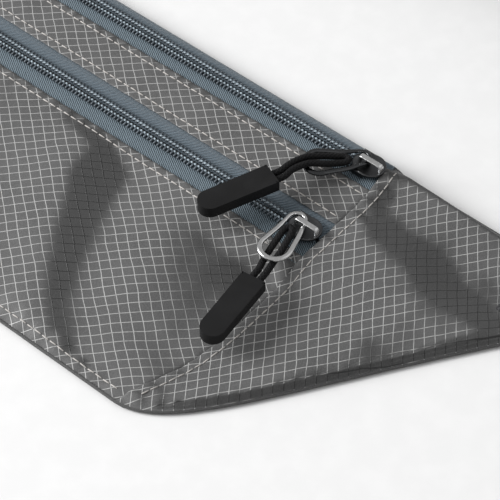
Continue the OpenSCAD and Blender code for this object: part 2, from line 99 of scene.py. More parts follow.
class Body(Enum):
    """The moving bodies that pieces ride on."""

    POUCH = "pouch"
    PLUG = "plug"
    KEEPER = "keeper"
    PRONG_UPPER = "prong_upper"
    PRONG_LOWER = "prong_lower"


# ---- Small tools ----


def smooth(t: float) -> float:
    """Eases t from 0 to 1."""
    t = min(1.0, max(0.0, t))
    return t * t * (3 - 2 * t)


def mix(a: float, b: float, t: float) -> float:
    """The value that is a share t of the way from a to b."""
    return a + (b - a) * t


def spread(first: float, last: float, steps: int) -> list[float]:
    """Even steps from first to last, both included."""
    return [mix(first, last, i / steps) for i in range(steps + 1)]


def drift(x: float, y: float, size: float, seed: float) -> float:
    """A soft random swing between about -1 and 1 that varies over roughly size millimetres."""
    return noise.noise(Vector((x / size, y / size, seed)))


def clear_selection() -> None:
    """Goes back to object mode with nothing selected."""
    if bpy.context.object is not None and bpy.context.object.mode != "OBJECT":
        bpy.ops.object.mode_set(mode="OBJECT")
    bpy.ops.object.select_all(action="DESELECT")


def take(piece: bpy.types.Object) -> bpy.types.Object:
    """Makes piece the one selected and active object.

    Args:
        piece: The object.

    Returns:
        The piece.
    """
    clear_selection()
    piece.select_set(True)
    bpy.context.view_layer.objects.active = piece
    return piece


def fresh(name: str) -> bpy.types.Object:
    """Names the primitive that was just added.

    Args:
        name: Its new name.

    Returns:
        The primitive.
    """
    piece = bpy.context.object
    piece.name = piece.data.name = name
    return piece


def edit(piece: bpy.types.Object, mode: str = "VERT") -> None:
    """Opens piece in edit mode with nothing selected in it.

    Args:
        piece: The object.
        mode: What is selected from now on: VERT, EDGE or FACE.
    """
    take(piece)
    bpy.ops.object.mode_set(mode="EDIT")
    bpy.ops.mesh.select_mode(type=mode)
    bpy.ops.mesh.select_all(action="DESELECT")
    bpy.ops.object.mode_set(mode="OBJECT")


def pick(piece: bpy.types.Object, test: Callable[[Vector], bool], faces: bool = False) -> None:
    """Selects what passes a test and goes into edit mode.

    Args:
        piece: The object to work on.
        test: Says of a vertex's place, or of a face's normal, whether it is taken.
        faces: True to test the faces' normals in place of the vertices' places.
    """
    edit(piece, "FACE" if faces else "VERT")
    for item in piece.data.polygons if faces else piece.data.vertices:
        item.select = test(item.normal if faces else item.co)
    bpy.ops.object.mode_set(mode="EDIT")


def shaped(piece: bpy.types.Object, kind: str, **settings: object) -> bpy.types.Object:
    """Adds a modifier to piece and applies it.

    Args:
        piece: The object to shape.
        kind: The modifier's type.
        **settings: The modifier's values by name.

    Returns:
        The piece.
    """
    take(piece)
    bpy.ops.object.modifier_add(type=kind)
    modifier = piece.modifiers[-1]
    for key, value in settings.items():
        setattr(modifier, key, value)
    bpy.ops.object.modifier_apply(modifier=modifier.name)
    return piece


def smoothed(piece: bpy.types.Object, degrees: float = 35) -> bpy.types.Object:
    """Shades piece smooth, apart from edges sharper than the angle.

    Args:
        piece: The object.
        degrees: The angle in degrees.

    Returns:
        The piece.
    """
    take(piece)
    bpy.ops.object.shade_smooth_by_angle(angle=math.radians(degrees))
    return piece


def put(piece: bpy.types.Object, place: Matrix) -> bpy.types.Object:
    """Moves piece's mesh by a matrix in metres and leaves its object at the origin.

    Args:
        piece: The object.
        place: The matrix.

    Returns:
        The piece.
    """
    take(piece)
    piece.matrix_world = place @ piece.matrix_world
    bpy.ops.object.transform_apply(location=True, rotation=True, scale=True)
    return piece


def joined(name: str, pieces: Sequence[bpy.types.Object]) -> bpy.types.Object:
    """Joins pieces into one object of that name.

    Args:
        name: The new piece's name.
        pieces: The objects to join.

    Returns:
        The new piece.
    """
    take(pieces[0])
    for piece in pieces:
        piece.select_set(True)
    bpy.ops.object.join()
    return fresh(name)


def face_outwards(piece: bpy.types.Object) -> bpy.types.Object:
    """Turns the faces of a closed piece outwards.

    Args:
        piece: The object.

    Returns:
        The piece.
    """
    pick(piece, lambda place: True)
    bpy.ops.mesh.normals_make_consistent(inside=False)
    bpy.ops.object.mode_set(mode="OBJECT")
    return piece


def block(name: str, low: Point, high: Point, edge: float) -> bpy.types.Object:
    """A block with rounded edges.

    Args:
        name: The piece's name.
        low: Its lowest corner in millimetres.
        high: Its highest corner in millimetres.
        edge: The radius of its edges in millimetres.

    Returns:
        The block.
    """
    clear_selection()
    bpy.ops.mesh.primitive_cube_add(size=1)
    piece = fresh(name)
    size = [(b - a) * MM for a, b in zip(low, high)]
    centre = Vector([(a + b) / 2 * MM for a, b in zip(low, high)])
    put(piece, Matrix.Translation(centre) @ Matrix.Diagonal((*size, 1)))
    shaped(piece, "BEVEL", width=edge * MM, segments=3, limit_method="NONE")
    return smoothed(piece)


def laid_sheet(
    name: str, points: Sequence[Sequence[Point]], flats: Sequence[Sequence[tuple[float, float]]]
) -> bpy.types.Object:
    """Lays a grid primitive out as a sheet of cloth.

    Args:
        name: The piece's name.
        points: Rows of points in millimetres, with X growing along a row and the rows going up in Y.
        flats: For each point, its place on the flat cloth in millimetres.

    Returns:
        The sheet, without thickness, with a UV map in metres of flat cloth.
    """
    rows, columns = len(points) - 1, len(points[0]) - 1
    clear_selection()
    bpy.ops.mesh.primitive_grid_add(x_subdivisions=columns, y_subdivisions=rows, size=2)
    sheet = fresh(name)
    mesh = sheet.data
    marks = [(round((v.co.y + 1) / 2 * rows), round((v.co.x + 1) / 2 * columns)) for v in mesh.vertices]
    for vertex, (j, i) in zip(mesh.vertices, marks):
        vertex.co = Vector(points[j][i]) * MM
    cloth = mesh.uv_layers.active.data
    for loop in mesh.loops:
        j, i = marks[loop.vertex_index]
        cloth[loop.index].uv = Vector(flats[j][i]) * MM
    mesh.update()
    return sheet


def thickened(sheet: bpy.types.Object, ply: float) -> bpy.types.Object:
    """Gives a sheet its thickness in millimetres, on its under side."""
    return shaped(sheet, "SOLIDIFY", thickness=ply * MM, offset=-1)


def written(
    name: str, points: Iterable[Sequence[float]], faces: Sequence[tuple[int, ...]]
) -> bpy.types.Object:
    """Writes a mesh from points and faces.

    Args:
        name: The piece's name.
        points: The places of its vertices in metres.
        faces: The vertices of each face.

    Returns:
        The piece.
    """
    mesh = bpy.data.meshes.new(name)
    mesh.from_pydata([tuple(point) for point in points], [], faces)
    piece = bpy.data.objects.new(name, mesh)
    bpy.context.scene.collection.objects.link(piece)
    return piece


def rounded(sides: int, across: float, up: float) -> list[tuple[float, float]]:
    """An oval or squarish outline.

    Args:
        sides: The number of its points.
        across: 1 for an oval, less for an outline that is squarer across.
        up: The same for its height.

    Returns:
        The points, as shares of the half width and half height.
    """
    corners = []
    for k in range(sides):
        angle = 2 * math.pi * (k + 0.5) / sides
        c, s = math.cos(angle), math.sin(angle)
        corners.append((math.copysign(abs(c) ** across, c), math.copysign(abs(s) ** up, s)))
    return corners


def skin(count: int, sides: int, closed: bool = False) -> list[tuple[int, ...]]:
    """Joins outlines that follow each other into one skin.

    Args:
        count: The number of outlines.
        sides: The number of each outline's points.
        closed: True where the last outline meets the first; otherwise both ends are capped.

    Returns:
        The faces.
    """
    faces: list[tuple[int, ...]] = []
    for i in range(count if closed else count - 1):
        here, there = i * sides, (i + 1) % count * sides
        for k in range(sides):
            n = (k + 1) % sides
            faces.append((here + k, here + n, there + n, there + k))
    if not closed:
        faces += [tuple(range(sides)), tuple(range((count - 1) * sides, count * sides))]
    return faces


def tube(
    name: str,
    line: Sequence[Vector],
    halves: Sequence[tuple[float, float]],
    sides: int = 10,
    closed: bool = False,
    across: Vector | None = None,
    square: float = 1.0,
) -> bpy.types.Object:
    """Sweeps an oval or squarish outline along a line.

    Args:
        name: The piece's name.
        line: The points that the middle of the outline follows, in millimetres.
        halves: The outline's half width and half height at each point, in millimetres.
        sides: The number of the outline's points.
        closed: True where the line's end meets its start.
        across: The direction of the width, or None for level and square to the line.
        square: 1 for an oval, less for a squarer outline.

    Returns:
        The piece, with a UV map in metres along it and from 0 to 1 round it.
    """
    count, outline = len(line), rounded(sides, square, square)
    points: list[Vector] = []
    uvs: list[tuple[float, float]] = []
    travel = 0.0
    for i, (point, (half_width, half_height)) in enumerate(zip(line, halves)):
        ahead = line[(i + 1) % count] if closed else line[min(count - 1, i + 1)]
        behind = line[i - 1] if closed or i else line[0]
        heading = (ahead - behind).normalized()
        wide = (across if across is not None else heading.cross(Vector((0, 0, 1)))).normalized()
        high = wide.cross(heading).normalized()
        points += [(point + wide * c * half_width + high * s * half_height) * MM for c, s in outline]
        if closed or i < count - 1:
            end = travel + (line[(i + 1) % count] - point).length
            for k in range(sides):
                low, up = k / sides, (k + 1) / sides
                uvs += [(travel * MM, low), (travel * MM, up), (end * MM, up), (end * MM, low)]
            travel = end
    piece = written(name, points, skin(count, sides, closed))
    if not closed:
        uvs += [(0.0, 0.0)] * (2 * sides)
    layer = piece.data.uv_layers.new(name="UVMap")
    for loop, uv in zip(layer.data, uvs):
        loop.uv = uv
    return smoothed(face_outwards(piece), 50)


def repeated(name: str, master: bpy.types.Object, places: Iterable[Matrix]) -> bpy.types.Object:
    """Copies a small master to many places, as one piece.

    Args:
        name: The piece's name.
        master: The shape to copy, which is removed.
        places: One matrix for each copy, in metres.

    Returns:
        The piece that holds the copies.
    """
    corners = [v.co.copy() for v in master.data.vertices]
    rings = [tuple(p.vertices) for p in master.data.polygons]
    points: list[tuple] = []
    faces: list[tuple] = []
    for place in places:
        start = len(points)
        points += [tuple(place @ corner) for corner in corners]
        faces += [tuple(start + k for k in ring) for ring in rings]
    piece = written(name, points, faces)
    piece.data.polygons.foreach_set("use_smooth", [True] * len(faces))
    bpy.data.objects.remove(master, do_unlink=True)
    return piece


def softened(name: str, node: str, edge: float) -> bpy.types.Object:
    """Copies a moulded CAD node and rounds its edges.

    Args:
        name: The new piece's name.
        node: The CAD node to copy.
        edge: The radius of its edges in millimetres.

    Returns:
        The rounded copy.
    """
    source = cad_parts[node]
    piece = bpy.data.objects.new(name, source.data.copy())
    bpy.context.scene.collection.objects.link(piece)
    piece.data.materials.clear()
    pick(piece, lambda place: True)
    bpy.ops.mesh.remove_doubles(threshold=0.00001)
    bpy.ops.mesh.dissolve_limited(angle_limit=math.radians(3))
    bpy.ops.object.mode_set(mode="OBJECT")
    shaped(piece, "BEVEL", width=edge * MM, segments=2, limit_method="ANGLE",
           angle_limit=math.radians(40), use_clamp_overlap=True, harden_normals=False)
    shaped(piece, "TRIANGULATE")
    return smoothed(piece, 40)


# ---- Finishes ----


class Bench:
    """Builds one material's nodes."""

    def __init__(self, name: str) -> None:
        """Starts a material with a bare shader.

        Args:
            name: The material's name.
        """
        self.material = bpy.data.materials.new(name)
        self.material.use_nodes = True
        self.tree = self.material.node_tree
        self.shader = self.tree.nodes["Principled BSDF"]

    def node(
        self, kind: str, inputs: dict[str | int, object] | None = None, **settings: object
    ) -> bpy.types.Node:
        """Adds a node.

        Args:
            kind: The node's type, without its ShaderNode start.
            inputs: Values or sockets for its inputs, by name or place.
            **settings: The node's own settings.

        Returns:
            The node.
        """
        node = self.tree.nodes.new("ShaderNode" + kind)
        for key, value in settings.items():
            setattr(node, key, value)
        for key, value in (inputs or {}).items():
            if isinstance(value, bpy.types.NodeSocket):
                self.tree.links.new(value, node.inputs[key])
            else:
                node.inputs[key].default_value = value
        return node

    def sum(self, operation: str, a: object, b: object = 0.0) -> bpy.types.NodeSocket:
        """The result of one piece of arithmetic."""
        return self.node("Math", {0: a, 1: b}, operation=operation).outputs[0]

    def step(self, value: object, low: float, high: float) -> bpy.types.NodeSocket:
        """0 where value is at low and 1 where it is at high, eased between."""
        settings = {0: value, 1: low, 2: high}
        return self.node("MapRange", settings, interpolation_type="SMOOTHSTEP").outputs[0]

    def blend(self, share: object, a: object, b: object) -> bpy.types.NodeSocket:
        """A colour that goes from a to b as share goes from 0 to 1."""
        full = [(*c, 1.0) if isinstance(c, tuple) else c for c in (a, b)]
        return self.node("Mix", {0: share, 6: full[0], 7: full[1]}, data_type="RGBA").outputs[2]

    def patch(self, place: object, scale: float, detail: float = 2.0) -> bpy.types.NodeSocket:
        """Soft random patches, about 0 to 1, with scale of them to a metre."""
        return self.node("TexNoise", {"Vector": place, "Scale": scale, "Detail": detail}).outputs[0]

    def object_place(self) -> bpy.types.NodeSocket:
        """Place in the piece, in metres."""
        return self.node("TexCoord").outputs["Object"]

    def cloth_place(self) -> bpy.types.NodeSocket:
        """Place on the flat cloth, in metres."""
        return self.node("UVMap", uv_map="UVMap").outputs[0]

    def bump(self, height: object, depth: float, strength: float = 1.0) -> None:
        """Gives the shader a relief of that depth in metres."""
        bump = self.node("Bump", {"Height": height, "Distance": depth, "Strength": strength})
        self.tree.links.new(bump.outputs[0], self.shader.inputs["Normal"])

    def set(self, **values: object) -> bpy.types.Material:
        """Sets the shader's inputs by name, with _ for a space, and gives the material.

        Args:
            **values: Colours, numbers or sockets.

        Returns:
            The finished material.
        """
        for key, value in values.items():
            entry = self.shader.inputs[key.replace("_", " ")]
            if isinstance(value, bpy.types.NodeSocket):
                self.tree.links.new(value, entry)
            elif isinstance(value, tuple):
                entry.default_value = (*value, 1.0)
            else:
                entry.default_value = value
        return self.material


@dataclass(frozen=True)
class Ripstop:
    """Coated ripstop cloth: a fine weave with a raised diamond grid of thicker yarns, with painted light and
    shade on its yarns and ground.
    """

    name: str
    ground: Colour
    # Colours of the grid yarns where painted lit and where painted in shade
    yarn_lit: Colour
    yarn_dull: Colour
    cell: float = 3.45
    yarn: float = 0.062

    def material(self) -> bpy.types.Material:
        """Builds the cloth's material; a per-point attribute of the piece paints its yarns lit or in shade
        and paints shade into its ground.

        Returns:
            The material.
        """
        bench = Bench(self.name)
        cloth = bench.cloth_place()
        wander = bench.node("TexNoise", {"Vector": cloth, "Scale": 90.0, "Detail": 1.0})
        shift = bench.node("VectorMath", {0: wander.outputs[1], 1: (0.5, 0.5, 0.5)}, operation="SUBTRACT")
        nudge = bench.node("VectorMath", {0: shift.outputs[0], "Scale": 0.0011}, operation="SCALE")
        moved = bench.node("VectorMath", {0: cloth, 1: nudge.outputs[0]}, operation="ADD")
        scale = 1 / (self.cell * MM)
        turned = bench.node("Mapping", {"Vector": moved.outputs[0], "Rotation": (0, 0, math.radians(45)),
                                        "Scale": (scale, scale, scale)})
        axes = bench.node("SeparateXYZ", {0: turned.outputs[0]})
        yarns = []
        for axis in (0, 1):
            off = bench.sum("ABSOLUTE", bench.sum("SUBTRACT", bench.sum("FRACT", axes.outputs[axis]), 0.5))
            yarns.append(bench.step(off, self.yarn, self.yarn * 0.45))
        grid = bench.sum("MAXIMUM", *yarns)
        uneven = bench.step(bench.patch(cloth, 1100.0, 1.0), 0.2, 0.62)
        shown = bench.sum("MULTIPLY", grid, bench.sum("ADD", 0.65, bench.sum("MULTIPLY", uneven, 0.35)))
        weave = bench.node("TexNoise", {"Vector": turned.outputs[0], "Scale": 9.0, "Detail": 2.0}).outputs[0]
        broad = bench.patch(cloth, 28.0, 3.0)
        deep = tuple(c * 0.78 for c in self.ground)
        bright = tuple(min(1.0, c * 1.2) for c in self.ground)
        ground = bench.blend(bench.step(weave, 0.3, 0.7), deep, bright)
        ground = bench.blend(bench.sum("MULTIPLY", bench.step(broad, 0.35, 0.7), 0.4), ground,
                             tuple(c * 1.35 for c in self.ground))
        # Painted light and shade: the yarns go from their painted-shade colour to their painted-lit colour
        # as the per-point attribute goes from 0 to 1, and the ground is painted up to 42 % darker where it
        # is 0
        lie = bench.node("Attribute", attribute_name="lie").outputs["Fac"]
        yarn = bench.blend(lie, self.yarn_dull, self.yarn_lit)
        ground = bench.blend(lie, bench.blend(0.42, ground, (0.0, 0.0, 0.0)), ground)
        colour = bench.blend(shown, ground, yarn)
        relief = bench.sum("ADD", grid, bench.sum("MULTIPLY", weave, 0.35))
        bench.bump(relief, 0.00016, 0.9)
        rough = bench.sum("SUBTRACT", 0.58, bench.sum("MULTIPLY", grid, 0.2))
        return bench.set(Base_Color=colour, Roughness=rough, Sheen_Weight=0.12, Sheen_Roughness=0.4,
                         Specular_IOR_Level=0.35)


@dataclass(frozen=True)
class RibbedTape:
    """Woven zip tape with slanting ribs, painted dark in the grooves between them and light on their tops.
    """

    name: str
    # Colours painted on the rib tops and in the grooves between them
    light: Colour
    dark: Colour
    slant: float
    pitch: float = 0.64

    def material(self) -> bpy.types.Material:
        """Builds the tape's material from its ribs.

        Returns:
            The material.
        """
        bench = Bench(self.name)
        cloth = bench.cloth_place()
        turned = bench.node("Mapping", {"Vector": cloth, "Rotation": (0, 0, math.radians(self.slant)),
                                        "Scale": (1 / (self.pitch * MM),) * 3})
        across = bench.node("SeparateXYZ", {0: turned.outputs[0]}).outputs[1]
        wobble = bench.sum("MULTIPLY", bench.patch(cloth, 700.0, 2.0), 0.7)
        wave = bench.sum("SINE", bench.sum("MULTIPLY", bench.sum("ADD", across, wobble), 2 * math.pi))
        rib = bench.step(wave, -0.8, 0.9)
        fibre = bench.patch(cloth, 3500.0, 2.0)
        share = bench.sum("MULTIPLY", rib, bench.sum("ADD", 0.45, bench.sum("MULTIPLY", fibre, 0.9)))
        # Painted shade and highlight: dark in the grooves between ribs, light on the rib tops, with random
        # fibre flecks
        colour = bench.blend(share, self.dark, self.light)
        bench.bump(bench.sum("ADD", rib, bench.sum("MULTIPLY", fibre, 0.3)), 0.00018, 0.9)
        return bench.set(Base_Color=colour, Roughness=0.7, Sheen_Weight=0.2, Sheen_Roughness=0.4)


@dataclass(frozen=True)
class Plastic:
    """Moulded plastic or rubber with a fine grain."""

    name: str
    colour: Colour
    roughness: float
    grain: float = 3000.0
    depth: float = 0.00004
    worn: float = 1.5
    gloss: float = 0.4

    def material(self) -> bpy.types.Material:
        """Builds the moulding's material.

        Returns:
            The material.
        """
        bench = Bench(self.name)
        place = bench.object_place()
        grain = bench.patch(place, self.grain, 3.0)
        broad = bench.patch(place, 120.0, 3.0)
        worn = tuple(c * self.worn for c in self.colour)
        colour = bench.blend(bench.step(broad, 0.35, 0.75), self.colour, worn)
        bench.bump(grain, self.depth, 0.7)
        rough = bench.sum("ADD", self.roughness - 0.06, bench.sum("MULTIPLY", broad, 0.14))
        return bench.set(Base_Color=colour, Roughness=rough, Specular_IOR_Level=self.gloss)


@dataclass(frozen=True)
class Metal:
    """Plated die-cast metal with light scuffs."""

    name: str
    colour: Colour
    roughness: float

    def material(self) -> bpy.types.Material:
        """Builds the plating's material.

        Returns:
            The material.
        """
        bench = Bench(self.name)
        place = bench.object_place()
        scuff = bench.patch(place, 900.0, 4.0)
        rough = bench.sum("ADD", self.roughness - 0.05, bench.sum("MULTIPLY", scuff, 0.14))
        colour = bench.blend(bench.step(scuff, 0.3, 0.7), tuple(c * 0.88 for c in self.colour), self.colour)
        bench.bump(scuff, 0.00002, 0.5)
        return bench.set(Base_Color=colour, Roughness=rough, Metallic=1.0)


@dataclass(frozen=True)
class Braid:
    """Braided cord: two sets of strands that cross round it."""

    name: str
    colour: Colour
    pitch: float = 1.5
    strands: float = 6.0

    def material(self) -> bpy.types.Material:
        """Builds the braid's material from the cord's own map.

        Returns:
            The material.
        """
        bench = Bench(self.name)
        axes = bench.node("SeparateXYZ", {0: bench.cloth_place()})
        along = bench.sum("MULTIPLY", axes.outputs[0], 2 * math.pi / (self.pitch * MM))
        round_ = bench.sum("MULTIPLY", axes.outputs[1], 2 * math.pi * self.strands)
        left = bench.sum("SINE", bench.sum("ADD", along, round_))
        right = bench.sum("SINE", bench.sum("SUBTRACT", along, round_))
        relief = bench.step(bench.sum("MAXIMUM", left, right), -0.2, 1.0)
        # Painted shade and highlight: the cord is painted darker between its strands and lighter on their
        # crowns
        deep, bright = (tuple(c * k for c in self.colour) for k in (0.45, 1.6))
        colour = bench.blend(relief, deep, bright)
        bench.bump(relief, 0.00015, 0.9)
        return bench.set(Base_Color=colour, Roughness=0.72, Specular_IOR_Level=0.2)


@dataclass(frozen=True)
class Woven:
    """Plain woven cloth, webbing or elastic, by its map along the piece."""

    name: str
    colour: Colour
    pitch: float = 1.1
    depth: float = 0.00018

    def material(self) -> bpy.types.Material:
        """Builds the weave: ribs along the piece, each crossed by short yarns.

        Returns:
            The material.
        """
        bench = Bench(self.name)
        axes = bench.node("SeparateXYZ", {0: bench.cloth_place()})
        turn = 2 * math.pi / (self.pitch * MM)
        ribs = bench.sum("SINE", bench.sum("MULTIPLY", axes.outputs[1], turn))
        ticks = bench.sum("SINE", bench.sum("ADD", bench.sum("MULTIPLY", axes.outputs[0], turn * 1.3),
                                            bench.sum("MULTIPLY", ribs, 1.4)))
        relief = bench.step(bench.sum("ADD", ribs, bench.sum("MULTIPLY", ticks, 0.7)), -1.5, 1.6)
        fuzz = bench.patch(bench.cloth_place(), 2500.0, 2.0)
        share = bench.sum("MULTIPLY", relief, bench.sum("ADD", 0.6, bench.sum("MULTIPLY", fuzz, 0.7)))
        # Painted shade and highlight: the weave is painted darker in the grooves between its ribs and
        # lighter on their crowns, with random fuzz in the tone
        deep, bright = (tuple(c * k for c in self.colour) for k in (0.5, 1.5))
        colour = bench.blend(share, deep, bright)
        bench.bump(relief, self.depth, 0.9)
        return bench.set(Base_Color=colour, Roughness=0.75, Sheen_Weight=0.15)


@dataclass(frozen=True)
class Palette:
    """Every finish on the belt, by what it is used for."""

    cloth: bpy.types.Material
    back_cloth: bpy.types.Material
    lining: bpy.types.Material
    tape_up: bpy.types.Material
    tape_down: bpy.types.Material
    coil: bpy.types.Material
    thread: bpy.types.Material
    pale_thread: bpy.types.Material
    gunmetal: bpy.types.Material
    bright: bpy.types.Material
    dark_nickel: bpy.types.Material
    rubber: bpy.types.Material
    cord: bpy.types.Material
    webbing: bpy.types.Material
    elastic: bpy.types.Material
    buckle: bpy.types.Material
    paper: bpy.types.Material

    @staticmethod
    def mixed() -> "Palette":
        """Makes all the finishes.

        Returns:
            The finishes.
        """
        return Palette(
            # For each cloth: its ground, its yarns painted lit, and its yarns painted in shade
            cloth=Ripstop("ripstop", (0.096,) * 3, (0.43, 0.43, 0.425), (0.024,) * 3).material(),
            back_cloth=Ripstop(
                "ripstop_back", (0.1, 0.098, 0.097), (0.3, 0.29, 0.28), (0.04,) * 3).material(),
            lining=Woven("lining", (0.2, 0.2, 0.2), 0.9, 0.00006).material(),
            # The two tapes are the same tape; the lower tape is painted with lighter rib tops than the
            # upper, as painted light
            tape_up=RibbedTape("zip_tape_up", (0.16, 0.215, 0.26), (0.028, 0.042, 0.055), -29.0).material(),
            tape_down=RibbedTape(
                "zip_tape_down", (0.22, 0.29, 0.34), (0.024, 0.037, 0.047), 32.0).material(),
            coil=Plastic("zip_coil", (0.075, 0.09, 0.105), 0.34, 5000.0, 0.00001, 1.5).material(),
            thread=Plastic("thread", (0.42, 0.4, 0.38), 0.6, 6000.0, 0.00003, 1.2).material(),
            pale_thread=Plastic("chain_thread", (0.3, 0.36, 0.4), 0.5, 6000.0, 0.00003, 1.3).material(),
            gunmetal=Metal("gunmetal", (0.085, 0.087, 0.09), 0.3).material(),
            bright=Metal("bright_nickel", (0.62, 0.62, 0.62), 0.22).material(),
            dark_nickel=Metal("dark_nickel", (0.07, 0.072, 0.075), 0.25).material(),
            rubber=Plastic(
                "grip_rubber", (0.007, 0.007, 0.0073), 0.52, 4200.0, 0.00003, gloss=0.22).material(),
            cord=Braid("pull_cord", (0.006, 0.006, 0.0065)).material(),
            webbing=Woven("webbing", (0.03, 0.03, 0.033), 1.4, 0.00025).material(),
            elastic=Woven("elastic", (0.022, 0.022, 0.025), 0.9, 0.0002).material(),
            buckle=Plastic("buckle_plastic", (0.02, 0.02, 0.022), 0.42, 2600.0, 0.00003, 1.5).material(),
            paper=Plastic("studio_floor", (0.8, 0.8, 0.8), 0.9, 400.0, 0.00001, 1.03).material(),
        )


def finish(
    piece: bpy.types.Object, materials: Sequence[bpy.types.Material], body: str, slot: str, *nodes: str
) -> bpy.types.Object:
    """Dresses a piece and hands it to the frame.

    Args:
        piece: The finished mesh.
        materials: Its materials, the first for all faces that name no other.
        body: The body that it rides on.
        slot: The record's material slot; not used.
        *nodes: The CAD nodes that it stands for.

    Returns:
        The piece.
    """
    for index, material in enumerate(materials):
        if index < len(piece.data.materials):
            piece.data.materials[index] = material
        else:
            piece.data.materials.append(material)
    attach(piece, body)
    if nodes:
        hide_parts(*nodes)
    LOG.info("%s: %d faces on %s", piece.name, len(piece.data.polygons), body)
    return piece


# ---- The sewn pouch ----


@dataclass(frozen=True)
class Pattern:
    """The pouch's cut: its outline, the places of its seams and the heights of its cloth."""

    half_length: float = 110.0
    half_height: float = 65.0
    wing_length: float = 74.0
    wing_end: float = 184.0
    fabric: float = 0.7
    deck: float = 6.6
    crown: float = 1.5
    main_zip: float = 56.8
    front_zip: float = 21.8
    front_edge: float = 13.2
    mid_low: float = 30.4
    mid_high: float = 49.4
    strap_low: float = 38.0
    wing_tip: float = 3.1
    top_edge: float = 3.6
    hem: float = 1.6

    def down(self, b: float) -> float:
        """Y at a share b of the way from the top edge to the hem."""
        return mix(self.half_height, -self.half_height, b)

    def side_dip(self, x: float, y: float) -> float:
        """How far a panel dips where it goes into the side seam."""
        return 0.5 * smooth((abs(x) - self.seam_x(y) + 1) / 3)

    def seam_x(self, y: float) -> float:
        """Distance of the side seam from the middle at height y; its ends curve in."""
        high, low = max(0.0, y - 35) / 30, max(0.0, -15 - y) / 50
        return self.half_length + 0.5 - 4.2 * high**2 - 11 * low**2

    def panel_top(self) -> float:
        """Height of cloth that lies on a zip's tape."""
        return self.deck + 0.05 + self.fabric

    def fall(self, y: float) -> float:
        """Share of the way down from the front zip to the hem, as the cloth falls."""
        return max(0.0, (self.front_edge - y) / (self.front_edge + self.half_height))

    def body_top(self, x: float, y: float) -> float:
        """Height of the smooth cloth over the pouch.

        Args:
            x: X in millimetres.
            y: Y in millimetres.

        Returns:
            The height in millimetres.
        """
        down = self.fall(y)
        swell = self.crown * max(0.0, math.sin(math.pi * min(1.0, down))) ** 1.2
        swell *= 1 - 0.75 * smooth((abs(x) - self.half_length + 40) / 40)
        edge = (self.panel_top() - self.top_edge) * smooth((y - self.half_height + 6) / 6)
        return mix(self.panel_top(), self.hem, down**2.6) + swell - edge

    def slump(self, x: float, y: float) -> float:
        """How far the empty pocket's cloth has sunk beside the right seam."""
        sunk = 0.9 * smooth((x - 20) / 60) + 3.4 * smooth((x - 64) / 48)
        return sunk * smooth((14 - y) / 16) * smooth((y + 63) / 26)

    def foot(self, a: float) -> tuple[float, float]:
        """A point on a wing's lower edge, from the hem's corner at 0 to the strap at 1.

        Args:
            a: The share of the wing's length.

        Returns:
            X and Y in millimetres.
        """
        hem = -self.half_height
        ends = ((self.seam_x(hem), hem), (121.0, -64.0), (138.0, -24.05), (self.wing_end, self.strap_low))
        parts = ((1 - a) ** 3, 3 * a * (1 - a) ** 2, 3 * a * a * (1 - a), a**3)
        return sum(p * e[0] for p, e in zip(parts, ends)), sum(p * e[1] for p, e in zip(parts, ends))

    def wing_place(self, a: float, b: float) -> tuple[float, float]:
        """A point of the right wing, a from seam to strap and b from top edge to lower edge.

        Args:
            a: The share of the wing's length, from its seam.
            b: The share of its height, from its top edge.

        Returns:
            X and Y in millimetres.
        """
        top, end, low_y = self.half_height, self.wing_end, mix(-self.half_height, self.strap_low, a)
        y = self.down(b)
        inner, outer = (self.seam_x(y), y), (end, mix(top, self.strap_low, b))
        high, low = (mix(self.seam_x(top), end, a), top), self.foot(a)
        corner = [mix(mix(self.seam_x(top), end, a), mix(self.seam_x(-top), end, a), b), mix(top, low_y, b)]
        return tuple(mix(high[k], low[k], b) + mix(inner[k], outer[k], a) - corner[k] for k in (0, 1))

    def wing_height(self, a: float, b: float) -> float:
        """Height of the right wing's smooth cloth.

        Args:
            a: The share of the wing's length, from its seam.
            b: The share of its height, from its top edge.

        Returns:
            The height in millimetres.
        """
        y = self.down(b)
        inner = self.body_top(self.seam_x(y), y) + 0.05 + self.fabric
        return mix(inner, self.wing_tip, smooth(a))


PATTERN = Pattern()
# Directions of the two sets of yarns on the pouch and on the wings, in degrees
BODY_YARNS = (43.9, 140.8)
WING_YARNS = (52.3, 126.2)


def on_bias(x: float, y: float, yarns: tuple[float, float]) -> tuple[float, float]:
    """Place on the cut cloth of a point whose yarns have been drawn to the two given directions.

    Args:
        x: The point's X in millimetres.
        y: The point's Y in millimetres.
        yarns: Directions of the two sets of yarns in degrees.

    Returns:
        The place on cloth whose yarns stand at 45 and 135 degrees.
    """
    first, second = (Vector((math.cos(math.radians(d)), math.sin(math.radians(d)))) for d in yarns)
    area = first.x * second.y - first.y * second.x
    a, b = (x * second.y - y * second.x) / area, (first.x * y - first.y * x) / area
    return (a - b) * math.sqrt(0.5), (a + b) * math.sqrt(0.5)


def catch_light(sheet: bpy.types.Object) -> None:
    """Paints light and shade: marks how far each point's normal faces a fixed light, as the attribute that
    the cloth's finish reads to paint its yarns lit or in shade and its ground darker in shade.

    Args:
        sheet: The cloth.
    """
    sheet.data.update()
    lie = sheet.data.attributes.new("lie", "FLOAT", "POINT")
    for index, vertex in enumerate(sheet.data.vertices):
        facing = vertex.normal.dot(TO_LIGHT)
        patch = 0.025 * drift(vertex.co.x / MM, vertex.co.y / MM, 17, 9.0)
        # 1 paints the point lit, 0 paints its yarns and ground in shade; a soft random swing blurs the edge
        lie.data[index].value = smooth((facing + patch - 0.668) / 0.095)


